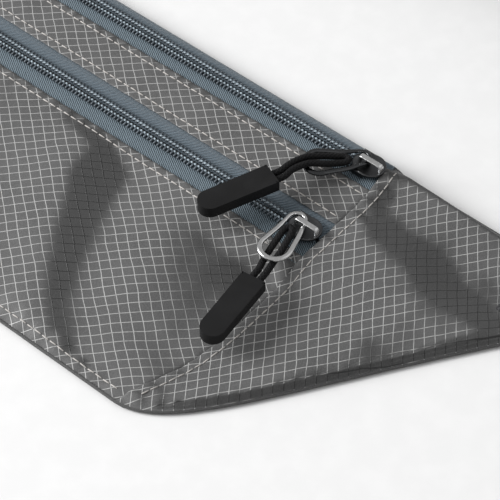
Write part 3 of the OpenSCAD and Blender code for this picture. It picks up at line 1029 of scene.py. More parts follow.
def folded_panel(
    name: str,
    steps: Sequence[tuple[float, float]],
    height: Callable[[float, float], float],
    corner: tuple[float, float],
    ply: float,
    columns: int = 190,
) -> bpy.types.Object:
    """Makes a panel that runs across the pouch from side seam to side seam.

    Args:
        name: The panel's name.
        steps: Its section upwards in Y: the Y and the drop below its upper face.
        height: Gives the height of its upper face.
        corner: Where its cut starts on the cloth, in millimetres.
        ply: Its thickness in millimetres.
        columns: The number of faces across it.

    Returns:
        The panel with its thickness and its per-point painted light and shade.
    """
    points, flats, travel = [], [], 0.0
    for j, (y, drop) in enumerate(steps):
        if j:
            travel += math.dist((y, drop), steps[j - 1])
        edge = PATTERN.seam_x(y) + 3.0
        xs = spread(-edge, edge, columns)
        points.append([(x, y, height(x, y) - drop) for x in xs])
        flats.append([on_bias(x + corner[0], corner[1] + travel, BODY_YARNS) for x in xs])
    sheet = laid_sheet(name, points, flats)
    # Paints light and shade into the panel's colour from its normals
    catch_light(sheet)
    return thickened(sheet, ply)


@dataclass
class FrontPanel:
    """The large front panel, from its folded edge on the front zip down to the hem."""

    pattern: Pattern = PATTERN
    rows: int = 78
    ply: float = 0.35

    def crease(self, x: float, y: float) -> float:
        """How far the soft cloth stands above or below its smooth shape.

        Args:
            x: X in millimetres.
            y: Y in millimetres.

        Returns:
            The height above it in millimetres.
        """
        down = self.pattern.fall(y)
        free = smooth(down / 0.12) * smooth((1 - down) / 0.1)
        broad = 0.5 * drift(x, y, 44, 3.1) + 0.26 * drift(x, y, 21, 7.7) + 0.12 * drift(x, y, 9, 1.3)
        slump = self.pattern.slump(x, y)
        pucker = 0.12 * math.sin(x * 0.93 + 2 * drift(x, y, 12, 5.0)) * math.exp(-((down / 0.05) ** 2))
        hem = 0.16 * math.sin(x * 0.8 + 2 * drift(x, y, 15, 2.0)) * smooth((down - 0.88) / 0.08)
        off = (x - 46) * 0.889 + (y + 24) * 0.459 - ((y + 22) / 30) ** 2 * 3
        dip = -0.2 * off * math.exp(-((off / 15) ** 2)) * free
        dip -= 1.2 * math.exp(-(((x - 103) / 8) ** 2) - ((y - 1) / 9) ** 2) * smooth((12 - y) / 6)
        return broad * free - slump + pucker + hem + dip

    def height(self, x: float, y: float) -> float:
        """Height of the panel's upper face."""
        drop = 0.55 * smooth((-61.5 - y) / 3.5)
        return self.pattern.body_top(x, y) + self.crease(x, y) - self.pattern.side_dip(x, y) - drop

    def profile(self) -> list[tuple[float, float]]:
        """Steps down the panel: the place on the flat cloth, and the drop below the upper face at a fold.

        Returns:
            Y of each step and its drop below the upper face.
        """
        edge = self.pattern.front_edge
        fold = [(edge - behind, drop) for behind, drop in EDGE_FOLD]
        body = [(y, 0.0) for y in spread(edge - 1.2, -self.pattern.half_height, self.rows - len(fold))]
        return fold + body

    def build(self, palette: Palette) -> bpy.types.Object:
        """Makes the panel.

        Args:
            palette: The finishes.

        Returns:
            The panel.
        """
        corner = (0.0, -self.pattern.half_height)
        sheet = folded_panel("front_panel_cloth", self.profile()[::-1], self.height, corner, self.ply)
        smoothed(sheet, CLOTH_ANGLE)
        return finish(sheet, [palette.cloth], Body.POUCH.value, "ripstop", "front_panel")


@dataclass
class MidStrip:
    """The strip between the zips, folded under along both edges."""

    pattern: Pattern = PATTERN
    ply: float = 0.3

    def height(self, x: float, y: float) -> float:
        """Height of the strip's upper face.

        Args:
            x: X in millimetres.
            y: Y in millimetres.

        Returns:
            The height in millimetres.
        """
        low, high = self.pattern.mid_low, self.pattern.mid_high
        share = (y - low) / (high - low)
        arch = 0.3 * math.sin(math.pi * min(1.0, max(0.0, share)))
        arch -= 0.5 * smooth((x - 84) / 24) * share * (1 - share) * 4
        soft = 0.22 * drift(x, y, 16, 4.4) + 0.12 * drift(x, y, 7, 6.0)
        near_edge = sum(math.exp(-(((share - row) / 0.16) ** 2)) for row in (0.03, 0.97))
        pucker = 0.12 * math.sin(x * 1.05 + 3 * drift(x, y, 11, 8.0)) * near_edge
        soft *= smooth(share / 0.2) * smooth((1 - share) / 0.2)
        return self.pattern.panel_top() + arch + soft + pucker - self.pattern.side_dip(x, y)

    def build(self, palette: Palette) -> bpy.types.Object:
        """Makes the strip.

        Args:
            palette: The finishes.

        Returns:
            The strip.
        """
        low, high = self.pattern.mid_low, self.pattern.mid_high
        steps = [(low + behind, drop) for behind, drop in EDGE_FOLD]
        steps += [(y, 0.0) for y in spread(low + 1.1, high - 1.1, 16)]
        steps += [(high - behind, drop) for behind, drop in EDGE_FOLD[::-1]]
        sheet = folded_panel("mid_strip_cloth", steps, self.height, (1.3, 17.0), self.ply)
        smoothed(sheet, CLOTH_ANGLE)
        return finish(sheet, [palette.cloth], Body.POUCH.value, "ripstop", "mid_strip")


@dataclass
class Wing:
    """A side wing: one ply folded under along the side seam and turned in along its edges."""

    side: Side
    pattern: Pattern = PATTERN
    columns: int = 70
    rows: int = 100
    ply: float = 0.35

    def reach(self, a: float) -> float:
        """The wing's height, from its top edge to its lower edge, at a share a of its length."""
        return mix(130.0, 27.0, a**0.8)

    def height(self, a: float, b: float) -> float:
        """Height of the wing's upper face at a share a of its length and b down from its top edge.

        Args:
            a: The share of the wing's length, from its seam.
            b: The share of its height, from its top edge.

        Returns:
            The height in millimetres.
        """
        x, y = self.pattern.wing_place(a, b)
        base = self.pattern.wing_height(a, b)
        span, seam_y = self.pattern.wing_length, self.pattern.down(b)
        seam_x = self.side.value * self.pattern.seam_x(seam_y)
        base -= self.pattern.slump(seam_x, seam_y) * smooth(1 - a * span / 46)
        top_gap, low_gap = b * self.reach(a), (1 - b) * self.reach(a)
        base += 2.2 * smooth((seam_y - 59) / 6) * smooth(a * span / 9)
        roll = smooth(1 - top_gap / 2.4) * smooth(a / 0.1) * (base - 1.6) * 0.8
        shut = smooth(1 - low_gap / 4.5) * max(0.0, base - 1.55) * 0.9
        free = smooth(a * span / 10) * smooth(top_gap / 8) * smooth(low_gap / 9) * smooth((1 - a) * span / 8)
        swapped = self.side.value * y
        soft = 0.6 * drift(x, swapped, 31, 2.2) + 0.35 * drift(x, swapped, 15, 5.1)
        soft += 0.14 * drift(x, y, 7, 8.3)
        off = y - 38 + 0.12 * (x - 130)
        fold = -0.19 * off * math.exp(-((off / 14) ** 2))
        pucker = 0.22 * math.sin(y * 0.9 + 2.5 * drift(x, y, 10, 3.0)) * math.exp(-((a * span / 7) ** 2))
        low_pucker = 0.14 * math.sin((x + y) * 0.75 + 2 * drift(x, y, 12, 4.0))
        low_pucker *= math.exp(-(((low_gap - 4) / 3.5) ** 2))
        crease = 0.32 * math.exp(-(((low_gap - 3.4) / 0.55) ** 2)) * smooth(a / 0.03)
        return base - roll - shut + (soft + fold) * free + pucker + low_pucker - crease

    def at(self, a: float, b: float, lift: float = 0.0) -> Point:
        """A point on the wing's upper face in millimetres, raised by lift."""
        x, y = self.pattern.wing_place(a, b)
        return self.side.value * x, y, self.height(a, b) + lift

    def build(self, palette: Palette) -> bpy.types.Object:
        """Makes the wing.

        Args:
            palette: The finishes.

        Returns:
            The wing.
        """
        fold = [(3.6, 0.72), (1.8, 0.72), (0.8, 0.7), (0.3, 0.62), (0.04, 0.4), (0.0, 0.22), (0.2, 0.06)]
        span = self.pattern.wing_length
        plan = [(d / span, drop) for d, drop in fold]
        plan += [(a, 0.0) for a in spread(0.9 / span, 1.0, self.columns - len(fold))]
        rows = [0, 0.7, 1.4, 2.1, 2.9, 3.8, 4.8, 6] + spread(7.4, 121.5, self.rows - 16)
        rows += [123, 124.3, 125.5, 126.6, 127.6, 128.5, 129.3, 130]
        order = plan if self.side is Side.RIGHT else plan[::-1]
        points, flats = [], []
        for down in rows[::-1]:
            b = down / (2 * self.pattern.half_height)
            line, flat = [], []
            for a, drop in order:
                x, y, z = self.at(a, b)
                line.append((x, y, max(0.95, z - drop)))
                under = self.pattern.wing_place(0.0, b)[0] * 2 if drop > 0.3 else 0.0
                px, py = self.pattern.wing_place(a, b)
                u, v = on_bias((under - px if under else px) + 0.9, py + 0.6, WING_YARNS)
                flat.append((self.side.value * u, v))
            points.append(line)
            flats.append(flat)
        sheet = laid_sheet(f"wing_cloth_{self.side.name.lower()}", points, flats)
        # Paints light and shade into the wing's colour from its normals
        catch_light(sheet)
        thickened(sheet, self.ply)
        node = f"wing_{self.side.name.lower()}"
        return finish(smoothed(sheet, CLOTH_ANGLE), [palette.cloth], Body.POUCH.value, "ripstop", node)


@dataclass
class Back:
    """The flat back of pouch and wings, and the turned edge that joins it to the front."""

    pattern: Pattern = PATTERN
    thickness: float = 0.45

    def outline(self) -> list[tuple[float, float]]:
        """The wings' and the hem's lower edge from left to right.

        Returns:
            X and Y of its points in millimetres.
        """
        half = [self.pattern.foot(a) for a in spread(0, 1, 36)]
        bottom = [(x, -65.0) for x in spread(-half[0][0], half[0][0], 60)[1:-1]]
        return [(-x, y) for x, y in half[::-1]] + bottom + half

    def build(self, palette: Palette) -> list[bpy.types.Object]:
        """Makes the back and its turned edges.

        Args:
            palette: The finishes.

        Returns:
            The pieces.
        """
        edge = self.outline()
        points, flats = [], []
        for b in spread(0, 1, 40):
            row = [(x, mix(y, 64.6, b)) for x, y in edge]
            lift = [0.52 + 0.12 * abs(drift(x, y, 26, 1.0)) * math.sin(math.pi * b) for x, y in row]
            points.append([(x, y, z) for (x, y), z in zip(row, lift)])
            flats.append(row)
        sheet = laid_sheet("back_cloth", points, flats)
        # Paints light and shade into the back's colour from its normals
        catch_light(sheet)
        thickened(sheet, self.thickness)
        smoothed(sheet, CLOTH_ANGLE)
        made = [finish(sheet, [palette.back_cloth], Body.POUCH.value, "ripstop", "back_panel")]
        line = [Vector((x, y, 0.98)) for x, y in edge]
        halves = [(0.55 + 0.05 * drift(p.x, p.y, 9, 1), 0.62 + 0.06 * drift(p.x, p.y, 7, 2)) for p in line]
        hem = tube("turned_hem", line, halves, 8)
        # The turned hem is painted half lit: its yarns halfway between painted light and painted shade, and
        # its ground painted about a fifth darker
        lie = hem.data.attributes.new("lie", "FLOAT", "POINT")
        lie.data.foreach_set("value", [0.5] * len(lie.data))
        made.append(finish(hem, [palette.cloth], Body.POUCH.value, "ripstop"))
        return made


@dataclass
class Divider:
    """The wall between the two pockets, sewn to the front zip's upper tape.

    Its section is given upwards, as Y and the height of its upper face.
    """

    ply: float = 0.3
    section: tuple[tuple[float, float], ...] = (
        (-59.0, 1.4), (-30, 1.5), (0, 1.6), (13.8, 1.8), (20, 2.1), (23.4, 2.4), (25.5, 2.9), (27.2, 3.6),
        (28.6, 4.6), (29.9, 5.5), (31.0, 5.8), (33.0, 5.86),
    )

    def build(self, palette: Palette) -> bpy.types.Object:
        """Makes the wall.

        Args:
            palette: The finishes.

        Returns:
            The wall.
        """
        low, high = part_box("pocket_divider")
        xs = spread(low[0] / MM, high[0] / MM, 60)
        points = [[(x, y, z + 0.15 * drift(x, y, 20, 6) * (z < 5)) for x in xs] for y, z in self.section]
        flats = [[(x, y + z) for x in xs] for y, z in self.section]
        sheet = laid_sheet("divider_cloth", points, flats)
        thickened(sheet, self.ply)
        smoothed(sheet, CLOTH_ANGLE)
        return finish(sheet, [palette.lining], Body.POUCH.value, "lining", "pocket_divider")


# ---- Zips ----


@dataclass
class ZipChain:
    """One zip: two ribbed tapes and the two rows of coils sewn to them."""

    which: Zip
    pattern: Pattern = PATTERN
    pitch: float = 1.5
    tape_ply: float = 0.5
    half_slit: float = 0.72
    loop_radius: float = 0.62
    wire_radius: float = 0.4

    @property
    def middle(self) -> float:
        """Y of the zip's centre line."""
        return self.pattern.main_zip if self.which is Zip.MAIN else self.pattern.front_zip

    def tape_profile(self, half: Half) -> list[tuple[float, float]]:
        """The tape's section from its inner edge outwards, as Y and height of its upper face.

        Args:
            half: Which side of the zip it is on.

        Returns:
            The points of the section.
        """
        deck, mid = self.pattern.deck, self.middle
        if half is Half.UPPER and self.which is Zip.MAIN:
            flat, reach, low = self.pattern.half_height - 3.6, 3.55, 0.75
            roll = [(flat + reach * math.sin(t), low + (deck - low) * (1 + math.cos(t)) / 2)
                    for t in spread(0.12, math.pi, 14)]
            return [(y, deck) for y in spread(mid + self.half_slit, flat, 6)] + roll
        if half is Half.UPPER:
            ys = spread(mid + self.half_slit, self.pattern.mid_low + 2.4, 14)
            return [(y, deck + 0.32 * math.sin(math.pi * smooth((y - mid - 3.2) / 6.4))) for y in ys]
        end = (self.pattern.mid_high if self.which is Zip.MAIN else self.pattern.front_edge) - 3.4
        return [(y, deck) for y in spread(mid - self.half_slit, end, 10)]

    def tape(self, half: Half, palette: Palette) -> bpy.types.Object:
        """Makes one tape.

        Args:
            half: Which side of the zip it is on.
            palette: The finishes.

        Returns:
            The tape.
        """
        node = f"{self.which.value}_zip_tape_{half.part}"
        profile = self.tape_profile(half)
        travel, lengths = 0.0, [0.0]
        for before, after in zip(profile, profile[1:]):
            travel += math.dist(before, after)
            lengths.append(travel)
        rows = list(zip(profile, lengths))
        if half is Half.LOWER:
            rows = rows[::-1]
        points, flats = [], []
        for (y, z), run in rows:
            edge = self.pattern.seam_x(y) + 2.0
            xs = spread(-edge, edge, 150)
            points.append([(x, y, z + 0.07 * drift(x, y, 13, 2.0)) for x in xs])
            flats.append([(x, half.value * run) for x in xs])
        sheet = laid_sheet(f"{self.which.value}_tape_cloth_{half.part}", points, flats)
        thickened(sheet, self.tape_ply)
        material = palette.tape_up if half is Half.UPPER else palette.tape_down
        return finish(smoothed(sheet, CLOTH_ANGLE), [material], Body.POUCH.value, "zip_tape", node)

    def loop(self) -> bpy.types.Object:
        """One coil loop across the zip, wider at the head that meets the other row.

        Returns:
            The loop.
        """
        clear_selection()
        bpy.ops.mesh.primitive_torus_add(
            major_segments=14, minor_segments=6, major_radius=self.loop_radius * MM,
            minor_radius=self.wire_radius * MM,
            rotation=(0, math.pi / 2, 0))
        loop = fresh("loop")
        bpy.ops.object.transform_apply(location=True, rotation=True, scale=True)
        for vertex in loop.data.vertices:
            y, z = vertex.co.y / self.loop_radius / MM, vertex.co.z
            vertex.co.y *= 1.21
            vertex.co.z = z * 0.78
            vertex.co.x = vertex.co.x * (1.0 + 0.4 * smooth((-y - 0.2) / 1.2)) + 0.16 * MM * z / (0.6 * MM)
        return loop

    def first_loop(self, half: Half) -> tuple[float, int]:
        """Where a row of coils starts in X, in millimetres, and how many loops it has.

        Args:
            half: Which side of the zip it is on.

        Returns:
            The start and the number.
        """
        low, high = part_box(f"{self.which.value}_zip_coil_{half.part}")
        start = low[0] / MM + 0.9 + (self.pitch / 2 if half is Half.UPPER else 0.0)
        return start, int((high[0] - low[0]) / MM / self.pitch) - 1

    def coil(self, half: Half, palette: Palette) -> bpy.types.Object:
        """Makes one row of coils.

        Args:
            half: Which side of the zip it is on.
            palette: The finishes.

        Returns:
            The row.
        """
        start, count = self.first_loop(half)
        y, z = self.middle + half.value * 1.83, self.pattern.deck + 0.84
        flip = Matrix.Diagonal((1, half.value, 1, 1))
        starts = [Vector((start + k * self.pitch, y, z)) * MM for k in range(count)]
        places = [Matrix.Translation(place) @ flip for place in starts]
        row = face_outwards(repeated(f"{self.which.value}_coil_{half.part}", self.loop(), places))
        return finish(row, [palette.coil], Body.POUCH.value, "zip_coil",
                      f"{self.which.value}_zip_coil_{half.part}")

    def chain_stitches(self, half: Half, palette: Palette) -> bpy.types.Object:
        """Makes the stitches that hold the coil to its tape, one between each two loops.

        Args:
            half: Which side of the zip they are on.
            palette: The finishes.

        Returns:
            The stitches.
        """
        first, count = self.first_loop(half)
        start, y, z = first + self.pitch / 2, self.middle + half.value * 1.25, self.pattern.deck + 1.4
        clear_selection()
        bpy.ops.mesh.primitive_uv_sphere_add(segments=8, ring_count=5, radius=0.5 * MM)
        bead = put(fresh("bead"), Matrix.Diagonal((1.1, 0.8, 0.6, 1)))
        slant = Matrix.Rotation(math.radians(28 * half.value), 4, "Z")
        places = [
            Matrix.Translation(Vector((start + k * self.pitch, y, z)) * MM) @ slant for k in range(count - 1)
        ]
        row = repeated(f"{self.which.value}_chain_stitches_{half.part}", bead, places)
        return finish(row, [palette.pale_thread], Body.POUCH.value, "zip_coil")

    def build(self, palette: Palette) -> list[bpy.types.Object]:
        """Makes the zip's fixed parts.

        Args:
            palette: The finishes.

        Returns:
            The pieces.
        """
        made = []
        for half in Half:
            made += [self.tape(half, palette), self.coil(half, palette), self.chain_stitches(half, palette)]
        return made


@dataclass
class Puller:
    """A zip slider with its bail, teardrop ring, doubled cord and moulded grip."""

    which: Zip
    ring_turn: float
    grip_turn: float
    root: Point
    route: tuple[Point, ...]
    small: float = 3.0
    large: float = 5.1
    spacing: float = 14.3
    rise: float = 1.3
    cord: float = 2.3
    apart: float = 1.4
    band: float = 0.95
    wire: float = 0.62
    plate_ply: float = 0.9
    bend: float = 0.75
    grip_size: Point = (27.5, 8.4, 4.2)

    def __post_init__(self) -> None:
        """Reads the places of the slider and its bail from the frame."""
        low, high = (Vector(corner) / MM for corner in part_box(f"{self.which.value}_bail"))
        plate_low, plate_high = (Vector(corner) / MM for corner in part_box(f"{self.which.value}_slider"))
        self.pivot = Vector((low.x + 0.6, (low.y + high.y) / 2, 0))
        self.bail_low, self.bail_high = low, high
        self.plate_low, self.plate_high = plate_low, plate_high
        self.wire_z = low.z + 0.8

    def turned(self, along: float, across: float, z: float) -> Vector:
        """A place given along and across the ring's axis from its pivot, in millimetres.

        Args:
            along: The way along the axis.
            across: The way to its left.
            z: The height.

        Returns:
            The place in millimetres.
        """
        angle = math.radians(self.ring_turn)
        c, s = math.cos(angle), math.sin(angle)
        return Vector((self.pivot.x + along * c - across * s, self.pivot.y + along * s + across * c, z))

    def plate(self, name: str, low_z: float, thickness: float, dished: bool) -> bpy.types.Object:
        """One of the slider's two plates, rounded towards the seam and drawn out the other way.

        Args:
            name: The piece's name.
            low_z: Height of its lower face.
            thickness: Its thickness.
            dished: True to sink the middle of its upper face inside a rim.

        Returns:
            The plate.
        """
        radius = (self.plate_high.y - self.plate_low.y) / 2
        centre = Vector((self.plate_high.x - radius, (self.plate_high.y + self.plate_low.y) / 2, low_z))
        stretch = (centre.x - self.plate_low.x) / radius
        clear_selection()
        bpy.ops.mesh.primitive_circle_add(vertices=56, radius=radius * MM, fill_type="NGON")
        plate = fresh(name)
        pick(plate, lambda place: place.x < 0)
        bpy.ops.transform.resize(value=(stretch, 1, 1), center_override=(0, 0, 0))
        bpy.ops.mesh.select_all(action="SELECT")
        bpy.ops.mesh.extrude_region_move(TRANSFORM_OT_translate={"value": (0, 0, thickness * MM)})
        bpy.ops.mesh.select_all(action="SELECT")
        bpy.ops.mesh.normals_make_consistent(inside=False)
        if dished:
            pick(plate, lambda normal: normal.z > 0.9, faces=True)
            bpy.ops.mesh.inset(thickness=0.55 * MM)
            bpy.ops.mesh.inset(thickness=0.22 * MM)
            bpy.ops.transform.translate(value=(0, 0, -0.16 * MM))
        bpy.ops.object.mode_set(mode="OBJECT")
        plate.data.materials.append(None)
        plate.data.materials.append(None)
        for face in plate.data.polygons:
            face.material_index = int(abs(face.normal.z) < 0.5)
        shaped(plate, "BEVEL", width=0.2 * MM, segments=3, limit_method="ANGLE",
               angle_limit=math.radians(50))
        return put(smoothed(plate, 40), Matrix.Translation(centre * MM))

    def slider(self, palette: Palette) -> bpy.types.Object:
        """Makes the slider's body: two plates, the post between them and its side walls.

        Args:
            palette: The finishes.

        Returns:
            The slider.
        """
        low, high = self.plate_low, self.plate_high
        name = f"{self.which.value}_slider_body"
        mid_x, mid_y = (low.x + high.x) / 2, (low.y + high.y) / 2
        upper = self.plate(name, high.z - self.plate_ply, self.plate_ply, True)
        lower = self.plate(name + "_lower", low.z, self.plate_ply, False)
        post = block(name + "_post", (mid_x + 2.4, mid_y - 0.5, low.z + 0.3),
                     (mid_x + 4.8, mid_y + 0.5, high.z - 0.3), 0.2)
        walls = [
            block(name + f"_wall_{k}", (low.x + 0.4, mid_y + k * 4.75 - 0.33, low.z + 2.0),
                  (low.x + 6.8, mid_y + k * 4.75 + 0.33, high.z - 0.25), 0.22)
            for k in (-1, 1)
        ]
        body = joined(name, [upper, lower, post, *walls])
        return finish(body, [palette.gunmetal, palette.bright], f"{self.which.value}_slider", "gunmetal",
                      f"{self.which.value}_slider")

    def bail(self, palette: Palette) -> bpy.types.Object:
        """Makes the flat arch that holds the ring.

        Args:
            palette: The finishes.

        Returns:
            The bail.
        """
        low, high = self.bail_low, self.bail_high
        y, top = (low.y + high.y) / 2, high.z - 0.45
        left, right, foot = low.x + 0.6, high.x - 0.6, low.z - 0.1

        def corner(x: float, inwards: int, first: float, last: float) -> list[Vector]:
            """The bend over the foot at x, between two angles.

            Args:
                x: The foot's X.
                inwards: 1 or -1, the way to the middle in X.
                first: The first angle in radians.
                last: The last angle.

            Returns:
                The points of the bend.
            """
            reach = inwards * self.bend
            return [Vector((x + reach * (1 - math.cos(t)), y, top - self.bend * (1 - math.sin(t))))
                    for t in spread(first, last, 4)]

        line = [Vector((left, y, foot)), Vector((left, y, mix(foot, top, 0.55)))]
        line += corner(left, 1, 0.2, 1.57)
        line += [Vector((mix(left + 0.9, right - 0.9, t), y, top)) for t in spread(0.15, 0.85, 4)]
        line += corner(right, -1, 1.57, 0.2)
        line += [Vector((right, y, mix(foot, top, 0.55))), Vector((right, y, foot))]
        halves = [(1.08, 0.56)] * 2 + [(1.0, 0.48)] * (len(line) - 4) + [(1.08, 0.56)] * 2
        arch = tube(f"{self.which.value}_bail_arch", line, halves, 14, across=Vector((0, 1, 0)), square=0.55)
        return finish(arch, [palette.bright], f"{self.which.value}_slider", "bright_nickel",
                      f"{self.which.value}_bail")

    def ring(self, palette: Palette) -> bpy.types.Object:
        """Makes the teardrop ring, thin round the bail, wide along its sides and round at its large bow.

        Args:
            palette: The finishes.

        Returns:
            The ring.
        """
        lean = math.asin((self.large - self.small) / self.spacing)
        line: list[Vector] = []
        halves: list[tuple[float, float]] = []

        def stop(along: float, across: float, wide: float, high: float) -> None:
            """Adds one point of the ring's wire.

            Args:
                along: Its place along the ring.
                across: Its place across the ring.
                wide: Half the wire's width.
                high: Half the wire's height.
            """
            z = self.wire_z + self.rise * smooth((along - 4) / (self.spacing - 4))
            line.append(self.turned(along, across, z))
            halves.append((wide, high))

        def flank(sign: int, shares: Sequence[float]) -> None:
            """Adds one straight side, from its small end at 0 to its large end at 1.

            Args:
                sign: The side of the ring that it is on.
                shares: Where its points are.
            """
            for t in shares:
                along = mix(-self.small * math.sin(lean), self.spacing - self.large * math.sin(lean), t)
                across = sign * mix(self.small, self.large, t) * math.cos(lean)
                stop(along, across, mix(self.wire, self.band, smooth(t / 0.5)), 0.5)

        quarter, shares = math.pi / 2, spread(0, 1, 15)[1:-1]
        for angle in spread(quarter + lean, 3 * quarter - lean, 18):
            stop(self.small * math.cos(angle), self.small * math.sin(angle), self.wire, 0.46)
        flank(-1, shares)
        for angle in spread(-quarter - lean, quarter + lean, 26):
            stop(self.spacing + self.large * math.cos(angle), self.large * math.sin(angle), self.band, 0.66)
        flank(1, shares[::-1])
        ring = tube(f"{self.which.value}_teardrop_ring", line, halves, 12, closed=True, square=0.72)
        bright = self.which is Zip.FRONT
        metal, slot = (palette.bright, "bright_nickel") if bright else (palette.dark_nickel, "gunmetal")
        return finish(ring, [metal], f"{self.which.value}_puller", slot, f"{self.which.value}_ring")

    def grip_frame(self) -> Matrix:
        """The grip's own axes: X from its root to its tip."""
        turn = Matrix.Rotation(math.radians(self.grip_turn), 4, "Z")
        return Matrix.Translation(self.turned(*self.root) * MM) @ turn

    def pull_cord(self, palette: Palette) -> bpy.types.Object:
        """Makes the doubled cord, from inside the grip round its bight in the ring and back.

        Args:
            palette: The finishes.

        Returns:
            The cord.
        """
        axes = self.grip_frame()

        def end(side: int, back: float) -> Vector:
            """A place on the strand that enters the grip, back from its root face."""
            return axes @ (Vector((-back, side * self.apart, 0)) * MM) / MM

        def place(stop: Point, side: int) -> Vector:
            """A place on the strand inside or near the ring.

            Args:
                stop: Its way along and across the ring, and its height.
                side: 1 or -1 for the strand.

            Returns:
                The place in millimetres.
            """
            along, across, z = stop
            shift = side * across if along < 20 else across - self.apart + side * self.apart
            return self.turned(along, shift, self.wire_z + z)

        stops = [end(1, -2.0), end(1, 0.5), end(1, 3.5)] + [place(p, 1) for p in self.route[::-1]]
        stops += [place(p, -1) for p in self.route[1:]] + [end(-1, 3.5), end(-1, 0.5), end(-1, -2.0)]
        line: list[Vector] = []
        for i in range(len(stops) - 1):
            a, b, c, d = stops[max(0, i - 1)], stops[i], stops[i + 1], stops[min(len(stops) - 1, i + 2)]
            for t in (0.0, 0.2, 0.4, 0.6, 0.8):
                line.append(0.5 * (2 * b + (c - a) * t + (2 * a - 5 * b + 4 * c - d) * t * t
                                   + (3 * b - a - 3 * c + d) * t**3))
        line.append(stops[-1])
        cord = tube(f"{self.which.value}_pull_cord", line, [(self.cord / 2, self.cord / 2)] * len(line), 12)
        cord.data.materials.append(palette.cord)
        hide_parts(f"{self.which.value}_cord")
        self.turned(*self.root) * MM
        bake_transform(cord)
        LOG.info("%s: %d faces between ring and grip", cord.name, len(cord.data.polygons))
        return cord

    def grip(self, palette: Palette) -> bpy.types.Object:
        """Makes the moulded grip: square at its root, round at its tip, with soft edges.

        Args:
            palette: The finishes.

        Returns:
            The grip.
        """
        length, width, thick = self.grip_size
        radius = width / 2
        clear_selection()
        bpy.ops.mesh.primitive_circle_add(vertices=64, radius=radius * MM, fill_type="NGON")
        grip = fresh(f"{self.which.value}_moulded_grip")
        pick(grip, lambda place: place.x < -0.00001)
        bpy.ops.transform.resize(value=(0, 1.03, 1), center_override=(0, 0, 0))
        bpy.ops.transform.translate(value=(-(length - radius) * MM, 0, 0))
        bpy.ops.mesh.select_all(action="SELECT")
        bpy.ops.mesh.extrude_region_move(TRANSFORM_OT_translate={"value": (0, 0, thick * MM)})
        bpy.ops.mesh.select_all(action="SELECT")
        bpy.ops.mesh.normals_make_consistent(inside=False)
        bpy.ops.object.mode_set(mode="OBJECT")
        pick(grip, lambda normal: normal.z > 0.9, faces=True)
        bpy.ops.mesh.inset(thickness=0.9 * MM)
        bpy.ops.transform.translate(value=(0, 0, 0.12 * MM))
        bpy.ops.object.mode_set(mode="OBJECT")
        shaped(grip, "BEVEL", width=0.75 * MM, segments=5, limit_method="ANGLE",
               angle_limit=math.radians(40), profile=0.6)
        put(grip, Matrix.Translation(Vector(((length - radius) * MM, 0, -thick / 2 * MM))))
        put(grip, self.grip_frame())
        return finish(smoothed(grip, 50), [palette.rubber], f"{self.which.value}_grip", "grip_rubber",
                      f"{self.which.value}_grip")

    def build(self, palette: Palette) -> list[bpy.types.Object]:
        """Makes the slider and all that hangs on it."""
        steps = (self.slider, self.bail, self.ring, self.pull_cord, self.grip)
        return [step(palette) for step in steps]


# ---- Stitching ----


def stitch_run(
    name: str, path: Sequence[Vector], material: bpy.types.Material, length: float = 2.6, gap: float = 0.65
) -> bpy.types.Object:
    """Lays a row of thread stitches along a path on the cloth.

    Args:
        name: The row's name.
        path: Points along the seam in millimetres, on the cloth's surface.
        material: The thread's finish.
        length: Length of each stitch in millimetres.
        gap: The space between two stitches in millimetres.

    Returns:
        The row.
    """
    clear_selection()
    radius = 0.24
    bpy.ops.mesh.primitive_uv_sphere_add(
        segments=8, ring_count=6, radius=radius * MM, rotation=(0, math.pi / 2, 0))
    stitch = fresh("stitch")
    bpy.ops.object.transform_apply(location=True, rotation=True, scale=True)
    for sign in (-1, 1):
        pick(stitch, lambda place, sign=sign: place.x * sign > 0.00001)
        bpy.ops.transform.translate(value=(sign * (length / 2 - radius) * MM, 0, 0))
    bpy.ops.object.mode_set(mode="OBJECT")
    marks = [0.0]
    for before, after in zip(path, path[1:]):
        marks.append(marks[-1] + (after - before).length)

    def at(travel: float) -> Vector:
        """The path's point that far along it.

        Args:
            travel: The way along the path in millimetres.

        Returns:
            The point.
        """
        for i in range(1, len(marks)):
            if travel <= marks[i]:
                share = (travel - marks[i - 1]) / max(1e-6, marks[i] - marks[i - 1])
                return path[i - 1].lerp(path[i], share)
        return path[-1]

    places = []
    count = int(marks[-1] / (length + gap))
    for k in range(count):
        jitter = 0.12 * drift(k * 7.3, 0, 3, len(name))
        first, last = at(k * (length + gap) + jitter), at(k * (length + gap) + length + jitter)
        along = (last - first).normalized()
        side = Vector((0, 0, 1)).cross(along).normalized()
        up = along.cross(side)
        scale = (last - first).length / length
        frame_axes = Matrix((along * scale, side, up)).transposed().to_4x4()
        places.append(Matrix.Translation((first + last) / 2 * MM) @ frame_axes)
    row = repeated(name, stitch, places)
    return finish(row, [material], Body.POUCH.value, "ripstop")


